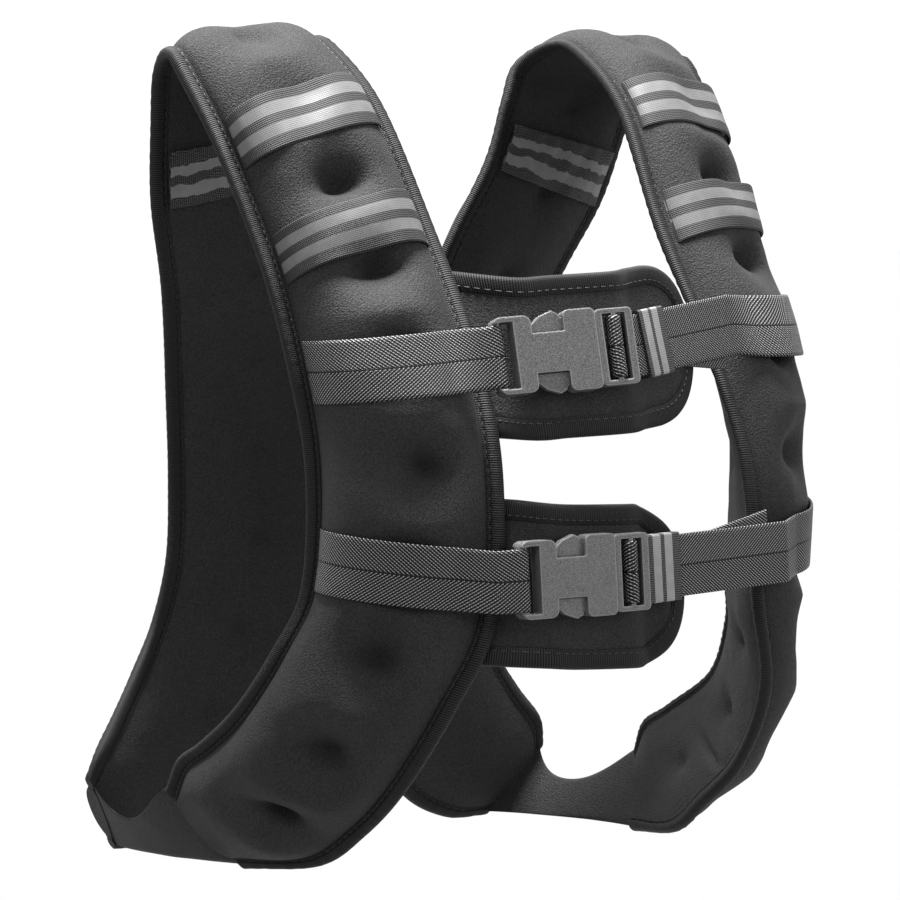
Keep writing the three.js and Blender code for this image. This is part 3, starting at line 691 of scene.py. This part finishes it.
def plastic_look():
    look = Look("buckle_plastic", 0.5, specular=0.3)
    grain = look.noise(1900, 2, 0.6)
    speck = look.ramp(grain, (0.36, 0.0), (0.66, 1.0))
    face = look.blend(speck, grey(0.024), grey(0.1))
    rounded = look.node("ShaderNodeBevel", [LIT_EDGE * MM], samples=6).outputs[0]
    flat = look.node("ShaderNodeNewGeometry").outputs["True Normal"]
    agree = look.node("ShaderNodeVectorMath", [rounded, flat], operation="DOT_PRODUCT").outputs["Value"]
    # Painted highlight: the colour turns lighter on the rounded edges, where they catch the light.
    edge = look.ramp(look.math("SUBTRACT", 1.0, agree), (0.01, 0.0), (0.12, 1.0))
    look.color(look.blend(edge, face, grey(0.17)))
    look.rough(look.ramp(grain, (0.3, 0.34), (0.7, 0.46)))
    look.bump((grain, 0.0002, 0.6), normal=rounded)
    return look.material


def thread_look():
    look = Look("thread", 0.55, specular=0.25)
    twist = look.noise(1800, 2)
    look.color(look.blend(twist, grey(0.004), grey(0.014)))
    look.bump((twist, 0.0001, 0.4))
    return look.material


NEOPRENE = neoprene_look()
BINDING = binding_look()
WEBBING = webbing_look()
TAPE = striped_look("reflective_tape", STRIPES)
WORN_TAPE = striped_look("worn_reflective_tape", WORN_STRIPES, bright=1.5, warp=6.0)
KEEPER = striped_look("keeper_elastic", KEEPER_STRIPES, bright=2.2)
PLASTIC = plastic_look()
THREAD = thread_look()


# Panels and bindings

PANEL_STEP = 2.2
OUTER_COLUMNS = 60
INNER_COLUMNS = 30
BINDING_STEP = 2.5

# How far padding, strips and patch reach under what covers their edges
EDGE_TUCK = 1.6


# Hollows get room for this many times the fullness, and relief fades to the edge by this power
PULL_ROOM = 1.5
EDGE_HOLD = 6


def pulled(distance):
    """How much of a hollow's depth the padding gives room for, at most all of it."""
    return np.minimum(1, fullness(distance) * PULL_ROOM)


def outer_surface(side, distance, across):
    """Height of the finished outer face, with stitched pits and soft swells."""
    base = outer_lift(distance, across)
    pull = hollow(pit_away(distance, across), *BOWL) + hollow(steep_pit_away(distance, across), *PIT)
    between = np.cos(2 * np.pi * (distance - PIT_START) / PIT_PITCH)
    edge = edge_share(distance, across)
    swell = PIT_SWELL * (1 - between) * (1 - edge**2)
    place = panel_point(side, distance, across, base)
    lumps = ripple(place, *LUMPS, side) + ripple(place, *WRINKLES)
    lift = base + (lumps + swell - pull * pulled(distance)) * (1 - edge**EDGE_HOLD)
    return np.maximum(lift, mix(SEAM_THICK / 2, base, LEAST_PADDING))


def inner_surface(side, distance, across):
    """Height of the finished inner face, with softer hollows and folds."""
    base = inner_lift(distance, across)
    away = pit_away(distance, across)
    place = panel_point(side, distance, across, base)
    lumps = ripple(place, *INNER_LUMPS, side) + ripple(place, *INNER_WRINKLES)
    pull = hollow(away, *INNER_BOWL) + hollow(away, *INNER_PIT)
    for start, slant in FOLDS:
        fold = hollow(distance - start - slant * across, *FOLD)
        pull = pull + fold * smooth(-across, *FOLD_FADE)
    hold = 1 - edge_share(distance, across) ** EDGE_HOLD
    lift = base + (lumps + pull * pulled(distance)) * hold
    return np.minimum(lift, LEAST_INNER - SEAM_THICK / 2)


def add_panel(word, side):
    count = int(PANEL_LENGTH / PANEL_STEP)
    distance = np.linspace(0, PANEL_LENGTH, count + 1)[:, None]
    body = body_share(distance) + 2 * EDGE_TUCK / span_length(distance)
    faces = []
    for surface, steps in ((outer_surface, bunched(OUTER_COLUMNS)), (inner_surface, -bunched(INNER_COLUMNS))):
        along, across = np.broadcast_arrays(distance, steps * body)
        faces.append(panel_point(side, along, across, surface(side, along, across)))
    mesh = loft(f"panel_padding_{word}", np.concatenate(faces, axis=1), distance[:, 0])
    piece = add_piece(mesh, NEOPRENE, [f"weight_panel_{word}"])


# Shares of the width and half thickness across a binding, from its bead over the sewn groove
BINDING_GROOVE = [(0.6, 1.0), (0.7, 0.94), (0.78, 0.7), (0.86, 0.7), (0.93, 0.9), (1.0, 0.86)]
STITCH_PLACE = 0.82
STITCH_DEPTH = 0.74
STITCH_PITCH = 4.2
STITCH_END = 4


def binding_profile(width, thick, top, steps):
    """(distance from the edge, height) round a binding, over its bead and top and back below. top
    has shares of the width and of half the thickness."""
    half = thick / 2
    bead = np.linspace(0, math.pi / 2, steps)
    upper = [((1 - math.cos(a)) * half, math.sin(a) * half) for a in bead]
    upper += [(x * width, y * half) for x, y in top]
    lower = [(x, -y) for x, y in reversed(upper) if y > 0]
    return np.array(upper + lower)


def add_binding(word, side, edge):
    name = "inner" if edge < 0 else "outer"
    count = int(PANEL_LENGTH / BINDING_STEP)
    distance = np.linspace(0, PANEL_LENGTH, count + 1)[:, None]
    profile = binding_profile(BINDING_WIDTH, BINDING_THICK, BINDING_GROOVE, 6)
    inset, height = profile.T
    pucker = PUCKER * np.sin(distance * 2 * math.pi / STITCH_PITCH)
    across = edge * (1 - inset * 2 / span_length(distance))
    lift = height * (1 + BINDING_SWELL * np.sin(distance / BINDING_SWELL_RUN)) + pucker * np.sign(height)
    rings = panel_point(side, distance, across, lift)
    mesh = loft(f"binding_{name}_{word}", rings, distance[:, 0], steps_round(profile))
    add_piece(mesh, BINDING, [f"{name}_binding_{word}"])


def add_edge_stitches(word, side):
    count = int((PANEL_LENGTH - 2 * STITCH_END) / STITCH_PITCH)
    distance = STITCH_END + np.arange(count) * STITCH_PITCH
    across = 1 - BINDING_WIDTH * STITCH_PLACE * 2 / span_length(distance)
    height = BINDING_THICK / 2 * STITCH_DEPTH
    rows = []
    for edge in (-1, 1):
        for face in (-1, 1):
            points = panel_point(side, distance, edge * across, face * height)
            rows.append((points, outward_at(side, distance) * face))
    mesh = stitch_mesh(f"edge_stitches_{word}", rows)
    add_piece(mesh, THREAD)


# Side strips and back patch

def round_edges(share, reach):
    """How full a sheet is at shares of its width, with rounded edges of a given reach."""
    near = np.minimum(1, np.minimum(share, 1 - share) / reach)
    return np.sqrt(1 - (1 - near) ** 2)


def sheet_rings(lows, highs, outwards, thick, columns=24):
    """Rings of a sheet between two lines of points, and the distances along its middle."""
    share = np.linspace(0, 1, columns)
    half = thick / 2 * mix(SHEET_EDGE, 1, round_edges(share, 2.5 / columns))
    line = mix(lows[:, None, :], highs[:, None, :], share[:, None])
    lift = outwards[:, None, :] * half[:, None]
    rings = np.concatenate([line + lift, (line - lift)[:, ::-1]], axis=1)
    return rings, steps_along((lows + highs) / 2)


def add_side_strip(word, side):
    t = np.linspace(0, 1, 40)[:, None]
    ends = []
    for distance, sign in ((0.0, -1), (PANEL_LENGTH, 1)):
        _, span, outward, _ = section(distance)
        away = unit(np.cross(outward, span)) * -EDGE_TUCK * sign
        low, high = (panel_point(1, distance, across * STRIP_SHARE, 0) + away for across in (-1, 1))
        ends.append((low, high, outward))
    lows = mix(ends[0][0], ends[1][0], t)
    highs = mix(ends[0][1], ends[1][1], t)
    outwards = unit(mix(ends[0][2], ends[1][2], t))
    highs = mix(highs, lows, STRIP_DIP * np.sin(math.pi * t**STRIP_DIP_LATE))
    bow = STRIP_BOW * 4 * t[:, 0] * (1 - t[:, 0])
    for line in (lows, highs):
        line[:, 0] += bow
    for line in (lows, highs, outwards):
        line[:, 0] *= side
    rings, along = sheet_rings(lows, highs, outwards, STRIP_THICK)
    rings = rings + outwards[:, None, :] * (ripple(rings, *STRIP_WAVES) * np.sin(math.pi * t))[..., None]
    mesh = loft(f"under_arm_strip_{word}", rings, along, sharp=70)
    piece = add_piece(mesh, NEOPRENE, [f"side_strip_{word}"])


def add_back_patch():
    middle = distance_at_level("back", -1, PATCH_LEVEL, at_height(0))
    distance = middle + np.linspace(-0.5, 0.5, 30) * PATCH_HEIGHT
    edge = panel_point(1, distance, -1.0, 0.0)
    edge[:, 0] += EDGE_TUCK
    lows = edge * [-1, 1, 1]
    outwards = np.tile([0.0, 1.0, 0.0], (len(edge), 1))
    rings, along = sheet_rings(lows, edge, outwards, PATCH_THICK, 20)
    mesh = loft("back_joining_patch", rings, along, sharp=70)
    piece = add_piece(mesh, NEOPRENE, ["back_patch"])


# Ribbons: tapes and webs

def ribbon(name, lines, outwards, thick, width, columns=14):
    """A band through ribs. A rib has a line of points across the band and its outward side."""
    share = (1 + bunched(columns)) / 2
    knots = np.linspace(0, 1, lines.shape[1])
    low = np.clip(np.searchsorted(knots, share, side="right") - 1, 0, len(knots) - 2)
    part = ((share - knots[low]) / (knots[low + 1] - knots[low]))[None, :, None]
    line = mix(lines[:, low], lines[:, low + 1], part)
    bulge = mix(RIBBON_EDGE, 1, round_edges(share, thick * 0.6 / width))[:, None] / 2
    out = outwards[:, None, :] * thick
    under = line + out * (0.5 - bulge)
    over = line + out * (0.5 + bulge)
    rings = np.concatenate([under, over[:, ::-1]], axis=1)
    v = (share - 0.5) * width
    around = np.concatenate([v, v[::-1], v[:1]])
    return loft(name, rings, steps_along(line[:, columns // 2]), around, sharp=60)


def add_tape(node, side, half, start_level, end_level):
    front = half == "front"
    lift = outer_lift if front else inner_lift
    start = distance_at_level(half, -1, start_level, lift)
    end = distance_at_level(half, 1, end_level, lift)
    step = bunched(60)
    distance = mix(start, end, (step + 1) / 2)
    across = step * body_share(distance)
    base = lift(distance, across)
    proud = TAPE_PROUD * smooth(step, *PROUD_RISE) * (1 - smooth(step, *PROUD_FALL))
    rows = []
    for offset in np.linspace(-0.5, 0.5, 9) * TAPE_WIDTH:
        sag = hollow(pit_away(distance + offset, across), *TAPE_SAG)
        height = base + TAPE_LIFT + proud - sag if front else base - TAPE_LIFT - TAPE_THICK
        rows.append(panel_point(side, distance + offset, across, height))
    lines = np.stack(rows, axis=1)
    crumple = ripple(lines, *(FRONT_CRUMPLE if front else BACK_CRUMPLE))
    lines += outward_at(side, distance)[:, None, :] * crumple[..., None]
    mesh = ribbon(f"{node}_band", lines, outward_at(side, distance), TAPE_THICK, TAPE_WIDTH, 26)
    piece = add_piece(mesh, TAPE if front else WORN_TAPE, [node])


class Run:
    """A straight piece of strap: x along it, y up, z away from the wearer."""

    def __init__(self, start, end, lean):
        self.start = start
        self.length = float(np.linalg.norm(end - start))
        self.x = unit(end - start)
        level = unit(np.cross(self.x, [0.0, 0.0, 1.0]))
        turn = -math.radians(lean)
        self.z = level * math.cos(turn) + np.cross(self.x, level) * math.sin(turn)
        self.y = np.cross(self.z, self.x)

    def point(self, along, out, up=0.0):
        return self.start + self.x * along + self.y * up + self.z * out

    def rib(self, along, out, tilt, up=0.0):
        turn = math.radians(tilt)
        line = [self.point(along, out, up + share * WEB_WIDTH) for share in (-0.5, 0, 0.5)]
        return np.array(line), self.z * math.cos(turn) + self.x * math.sin(turn)


def strap_runs(strap):
    """The buckle's run, the lead from it to the left panel and the web's way to it."""
    places = []
    for side, level in ((-1, strap["right_inner"]), (1, strap["left_inner"])):
        distance = distance_at_level("front", -1, level, at_height(EDGE_LIFT))
        places.append(panel_point(side, distance, -1.0, EDGE_LIFT))
    start, end = places

    def at(share):
        p = mix(start, end, share)
        p[1] -= strap["arch"] * CHEST_REACH * 4 * share * (1 - share)
        return p

    share = strap["buckle"]
    first = at(share)
    while np.linalg.norm(at(share) - first) < BUCKLE_LENGTH:
        share += 0.001
    buckle = Run(first, at(share), strap["lean"])
    before = float(np.linalg.norm(first - at(0)))
    lead = Run(buckle.point(BUCKLE_LENGTH, -BAR_THICK), end, strap["lean"])
    return buckle, lead, before


# Where a web lies on its panel, from near the outer edge inwards, as shares of a quarter turn
WEB_REACH = (0.98, -0.55)


def web_over_panel(side, outer_level, inner_level):
    """Ribs of a web over a panel, from near its outer edge to where it leaves the padding."""
    steps = np.sin(np.linspace(*WEB_REACH, 33) * math.pi / 2)
    taut = np.where(steps < 0, EDGE_LIFT, 0)
    level = mix(inner_level, outer_level, (steps + 1) / 2)

    def lift(distance, across):
        return np.maximum(outer_lift(distance, across) + TAPE_LIFT, taut)

    def edge(up, lean):
        share = steps - up * lean
        distance = distance_at_level("front", share, level - up * WEB_WIDTH / PANEL_DROP, lift)
        across = share * body_share(distance)
        return distance, panel_point(side, distance, across, lift(distance, across))

    middle, _ = edge(0, 0 * steps)
    along = edge(0.5, 0 * steps)[1] - edge(-0.5, 0 * steps)[1]
    span = section(middle)[1] * [side, 1, 1]
    slant = 2 * np.sum(along * span, 1) / np.sum(span * span, 1) / body_share(middle)
    lean = slant * (1 - steps) / 2
    lines = np.stack([edge(up, lean)[1] for up in (-0.5, 0, 0.5)], axis=1)
    return list(zip(lines, outward_at(side, middle)))


def add_web(kind, name, ribs, spacing=1.4, rounds=4):
    """A web through ribs, resampled evenly and with its turns rounded, sewn on one panel."""
    lines, outwards = (np.array(part) for part in zip(*ribs))
    run = steps_along(lines[:, 1])
    places = np.linspace(0, run[-1], int(run[-1] / spacing))
    index = np.clip(np.searchsorted(run, places, side="right") - 1, 0, len(run) - 2)
    part = (places - run[index]) / (run[index + 1] - run[index])
    lines = mix(lines[index], lines[index + 1], part[:, None, None])
    outwards = unit(mix(outwards[index], outwards[index + 1], part[:, None]))
    for _ in range(rounds):
        lines[1:-1] = (lines[:-2] + 2 * lines[1:-1] + lines[2:]) / 4
        outwards[1:-1] = unit(outwards[:-2] + 2 * outwards[1:-1] + outwards[2:])
    mesh = ribbon(f"{kind}_webbing_{name}", lines, outwards, WEB_THICK, WEB_WIDTH)
    piece = add_piece(mesh, WEBBING, [f"{kind}_web_{name}"])


def add_sewn_web(name, strap, buckle, before):
    """The web over the right panel and round the bar of the buckle's socket."""
    face = BAR_THICK / 2 + GAP
    ribs = web_over_panel(-1, strap["right_outer"], strap["right_inner"])
    ribs += [
        buckle.rib(-before, 0, -25),
        buckle.rib(0, face, 0),
        buckle.rib(RAIL, face, 0),
        buckle.rib(RAIL + GAP, face * 0.5, 90),
        buckle.rib(RAIL + GAP, -face * 0.5, 90),
        buckle.rib(RAIL, -face, 180),
        buckle.rib(RAIL - WEB_TURN_BACK, -face, 180),
    ]
    add_web("sewn", name, ribs)


def add_adjustable_web(name, strap, buckle, lead):
    """The web over the left panel, through the ladder of the prongs and back as the loose tail."""
    face = BAR_THICK / 2 + LADDER_BAR_MORE + GAP
    bar = SOCKET_LENGTH + LADDER_SLOTS[0] + LADDER_SLOT
    bar_end = SOCKET_LENGTH + LADDER_SLOTS[1]
    last = bar_end + LADDER_SLOT
    under = -face - WEB_THICK
    ribs = web_over_panel(1, strap["left_outer"], strap["left_inner"])
    ribs += [
        lead.rib(lead.length, 0, 25),
        lead.rib(lead.length / 2, 0, 0),
        lead.rib(RAIL, 0, 0),
        buckle.rib(last + 1, under, 0),
        buckle.rib(last - 1, under, 20),
        buckle.rib(bar_end + 1.2, face - 1.2, 45),
        buckle.rib(bar_end, face, 0),
        buckle.rib(bar, face, 0),
        buckle.rib(bar - GAP, face - 1, -90),
        buckle.rib(bar - GAP, 1 - face, -90),
        buckle.rib(bar, -face, 180),
        buckle.rib(bar_end, -face, 180),
        buckle.rib(last + 1, under - GAP, 180),
        lead.rib(RAIL, -GAP, 180),
        lead.rib(lead.length / 2, -GAP, 180),
        lead.rib(lead.length - TAIL_SHORT, -GAP, 180, strap["tail_tilt"] * WEB_WIDTH),
    ]
    add_web("adjustable", name, ribs, spacing=1.2, rounds=2)


def rounded_loop(height, depth, radius):
    """Points (up, out) round a rectangle with round corners."""
    points = []
    for quarter, (sign_up, sign_out) in enumerate(((1, 1), (-1, 1), (-1, -1), (1, -1))):
        for angle in math.pi / 2 * (quarter + np.linspace(0, 1, 7)):
            up = sign_up * (height / 2 - radius) + radius * math.cos(angle)
            points.append((up, sign_out * (depth / 2 - radius) + radius * math.sin(angle)))
    return np.array(points)


def add_keeper(name, strap, lead):
    room = 2 * WEB_THICK + 3 * GAP
    height = WEB_WIDTH + 2 * GAP
    outer = rounded_loop(height + 2 * KEEPER_THICK, room + 2 * KEEPER_THICK, KEEPER_THICK)
    inner = rounded_loop(height, room, 0.3)
    share = (1 + bunched(18)) / 2
    along = strap["keeper"] * WEB_WIDTH + share * KEEPER_WIDTH
    rings = []
    for outside, inside in zip(outer, inner):
        top = [lead.point(x, outside[1] - GAP / 2, outside[0]) for x in along]
        low = [lead.point(x, inside[1] - GAP / 2, inside[0]) for x in along[::-1]]
        rings.append(top + low)
    v = (share - 0.5) * KEEPER_WIDTH
    around = np.concatenate([v, v[::-1], v[:1]])
    turn = steps_round(outer)
    mesh = loft(f"elastic_keeper_{name}", np.array(rings), turn, around, closed=True, sharp=60)
    piece = add_piece(mesh, KEEPER, [f"keeper_{name}"])


# Chest pads

class PadLine:
    """The middle line of a pad from behind the right panel to its free end behind the strap."""

    def __init__(self, strap, buckle, lead):
        lift = -(BINDING_THICK + PAD_RIM_THICK) / 2 - strap["pad_seat"] * PAD_CLEAR

        def edge(step, level, depth):
            distance = distance_at_level("front", step, level, at_height(depth))
            return panel_point(-1, distance, step * body_share(distance), depth)

        def row(step, depth):
            half = PAD_HEIGHT / 2 / PANEL_DROP
            top, low = (edge(step, strap["pad_level"] + down, depth) for down in (-half, half))
            return (top + low) / 2, (top - low) / PAD_HEIGHT

        body = body_share(distance_at_level("front", -1, strap["pad_level"], at_height(0)))
        tucked = row((-1 + 2 * PAD_TUCK / PANEL_WIDTH) / body, lift - INNER_BULGE / 2)
        sewn = row(-1 / body, lift)
        behind_buckle = -(BUCKLE_THICK + PAD_RIM_THICK) / 2 - PAD_CLEAR
        behind_keeper = -WEB_THICK - KEEPER_THICK - PAD_RIM_THICK / 2 - 2 * GAP - PAD_CLEAR
        fall = -strap["pad_fall"] * PAD_HEIGHT
        reach = lead.length * strap["pad_reach"]
        self.points = np.array([
            tucked[0],
            sewn[0],
            buckle.point(FRAME_LENGTH, behind_buckle, fall * 0.4),
            buckle.point(FRAME_LENGTH + NECK_LENGTH, behind_buckle, fall * 0.6),
            buckle.point(BUCKLE_LENGTH - RAIL, behind_buckle - WEB_THICK - GAP, fall * 0.8),
            lead.point(reach * 0.35, behind_keeper - 4, fall * 0.9),
            lead.point(reach * 0.7, behind_keeper - 0.5, fall),
            lead.point(reach, behind_keeper, fall),
        ])
        self.ups = (tucked[1], sewn[1], buckle.y)
        self.arc = arc_table(self.points, 200)
        self.length = float(self.arc[-1])

    def share_at(self, along):
        return np.interp(along, self.arc, np.linspace(0, 1, len(self.arc)))

    def outward(self, along):
        t = self.share_at(along)
        ahead = spline(self.points, np.minimum(t + TANGENT_STEP, 1))
        tangent = ahead - spline(self.points, np.maximum(t - TANGENT_STEP, 0))
        return unit(np.cross(tangent, self.upward(along)))

    def upward(self, along):
        along = np.asarray(along, float)[..., None]
        upward = mix(self.ups[0], self.ups[1], np.clip(along / PAD_TUCK, 0, 1))
        return mix(upward, self.ups[2], smooth(along, PAD_TUCK, PAD_TUCK * 3))

    def point(self, along, up, out):
        along, up, out = together(along, up, out)
        place = spline(self.points, self.share_at(along))
        return place + self.upward(along) * up[..., None] + self.outward(along) * out[..., None]


def add_pad_body(name, line):
    inset = PAD_RIM_WIDTH - EDGE_TUCK
    length = line.length - inset
    corner = PAD_CORNER - inset
    tall = PAD_HEIGHT / 2 - inset
    straight = np.linspace(0, 1, 34, endpoint=False) * (length - corner)
    angle = np.linspace(0, math.pi / 2, 14)
    along = np.concatenate([straight, length - corner + corner * np.sin(angle)])
    half = tall - corner + corner * np.concatenate([np.ones(len(straight)), np.cos(angle)])
    up = half[:, None] * bunched(26)
    inner = np.minimum(half[:, None] - np.abs(up), length - along[:, None])
    puff = mix(PAD_EDGE, 1, np.sqrt(np.clip(inner / PAD_EDGE_ROUND, 0, 1)))
    out = PAD_THICK / 2 * (puff + PAD_SWELL * smooth(inner, *PAD_SWELL_REACH))
    front = line.point(along[:, None], up, out)
    back = line.point(along[:, None], up[:, ::-1], -out[:, ::-1])
    rings = np.concatenate([front, back], axis=1)
    rings = rings + ripple(rings, *PAD_WAVES)[..., None] * line.outward(along)[:, None, :]
    mesh = loft(f"chest_pad_{name}_foam", rings, along)
    piece = add_piece(mesh, NEOPRENE, [f"chest_pad_{name}"])


def pad_outline(line, spacing):
    """Points (along, up) round a pad's edge and the inward direction at each."""
    tall = PAD_HEIGHT / 2
    run = line.length - PAD_CORNER
    straight = np.linspace(0, run, int(run / spacing), endpoint=False)
    angle = np.linspace(0, math.pi / 2, int(PAD_CORNER * math.pi / 2 / spacing))
    along = np.concatenate([straight, run + PAD_CORNER * np.sin(angle)])
    turn = np.concatenate([0 * straight, angle])
    up = PAD_CORNER * (1 - np.cos(turn)) - tall
    low = np.stack([along, up, -np.sin(turn), np.cos(turn)], 1)
    return np.vstack([low, low[::-1] * [1, -1, 1, -1]])


# Shares of the width and half thickness across a pad's rim past its bead
PAD_RIM_TOP = [(0.75, 1.02), (1.0, 0.8)]
RIM_STEP = 2.4
RIM_STITCH_PLACE = 0.8
RIM_STITCH_PROUD = 0.05
LEAST_STITCH = 1


def inwards(spots, inset):
    """Points (along, up) that lie an inset inwards of spots on a pad's edge."""
    return spots[..., 0] + spots[..., 2] * inset, spots[..., 1] + spots[..., 3] * inset


def add_pad_rim(name, line):
    spots = pad_outline(line, RIM_STEP)
    profile = binding_profile(PAD_RIM_WIDTH, PAD_RIM_THICK, PAD_RIM_TOP, 5)
    rings = line.point(*inwards(spots[:, None], profile[:, 0]), profile[:, 1])
    mesh = loft(f"pad_binding_{name}", rings, steps_along(spots[:, :2]), steps_round(profile))
    add_piece(mesh, BINDING, [f"pad_rim_{name}"])


def add_pad_stitches(name, line):
    spots = pad_outline(line, STITCH_PITCH)
    along, up = inwards(spots, PAD_RIM_WIDTH * RIM_STITCH_PLACE)
    steps = np.diff(steps_along(np.stack([along, up], 1)))
    keep = np.concatenate([[True], steps > LEAST_STITCH])
    along, up = along[keep], up[keep]
    lift = PAD_RIM_THICK / 2 + RIM_STITCH_PROUD
    rows = [(line.point(along, up, face * lift), line.outward(along) * face) for face in (-1, 1)]
    mesh = stitch_mesh(f"pad_stitches_{name}", rows)
    add_piece(mesh, THREAD)


# Buckles

def dress_buckle(name):
    for half in ("socket", "prongs"):
        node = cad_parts[f"buckle_{half}_{name}"]
        node.data.materials.clear()
        node.data.materials.append(PLASTIC)
        bevel = node.modifiers.new("soft_edges", "BEVEL")
        bevel.width = BUCKLE_ROUND * MM
        bevel.segments = 3
        bevel.limit_method = "ANGLE"
        bevel.angle_limit = math.radians(35)
        bevel.harden_normals = True


# The assembly

for word, side in SIDES.items():
    add_panel(word, side)
    add_binding(word, side, -1)
    add_binding(word, side, 1)
    add_edge_stitches(word, side)
    add_side_strip(word, side)
add_back_patch()
for node, (side, half, start_level, end_level) in TAPES.items():
    add_tape(node, side, half, start_level, end_level)
for name, strap in STRAPS.items():
    buckle, lead, before = strap_runs(strap)
    dress_buckle(name)
    add_sewn_web(name, strap, buckle, before)
    add_adjustable_web(name, strap, buckle, lead)
    add_keeper(name, strap, lead)
    line = PadLine(strap, buckle, lead)
    add_pad_body(name, line)
    add_pad_rim(name, line)
    add_pad_stitches(name, line)


# Stage, light and camera

def add_floor():
    look = Look("pale_floor", 0.9, specular=0.1)
    look.sockets["Base Color"].default_value = (FLOOR_SHADE, FLOOR_SHADE, FLOOR_SHADE, 1)
    z = cad_box[0][2] - FLOOR_DROP
    corners = [(x * FLOOR_SIZE, y * FLOOR_SIZE, z) for x, y in ((-1, -1), (1, -1), (1, 1), (-1, 1))]
    mesh = bpy.data.meshes.new("floor")
    mesh.from_pydata(corners, [], [(0, 1, 2, 3)])
    mesh.materials.append(look.material)
    put("floor", mesh)


def add_area_light(name, place, target, size, power):
    data = bpy.data.lights.new(name, "AREA")
    data.shape = "DISK"
    data.size = size
    data.energy = power
    light = put(name, data)
    light.location = place
    aim = Vector(target) - Vector(place)
    light.rotation_euler = aim.to_track_quat("-Z", "Y").to_euler()


def add_world():
    world = bpy.data.worlds.new("studio")
    world.use_nodes = True
    background = world.node_tree.nodes["Background"]
    background.inputs["Color"].default_value = (1, 1, 1, 1)
    background.inputs["Strength"].default_value = WORLD_STRENGTH
    bpy.context.scene.world = world


def add_camera():
    data = bpy.data.cameras.new("camera")
    data.lens = CAMERA_LENS
    data.sensor_width = SENSOR_WIDTH
    data.clip_end = CLIP_END
    camera = put("camera", data)
    camera.location = CAMERA_PLACE
    camera.rotation_euler = (math.radians(90 + CAMERA_PITCH), 0, math.radians(CAMERA_AZIMUTH))
    bpy.context.scene.camera = camera


add_floor()
add_world()
for light in LIGHTS:
    add_area_light(*light)
add_camera()
bpy.context.scene.view_settings.view_transform = "Standard"
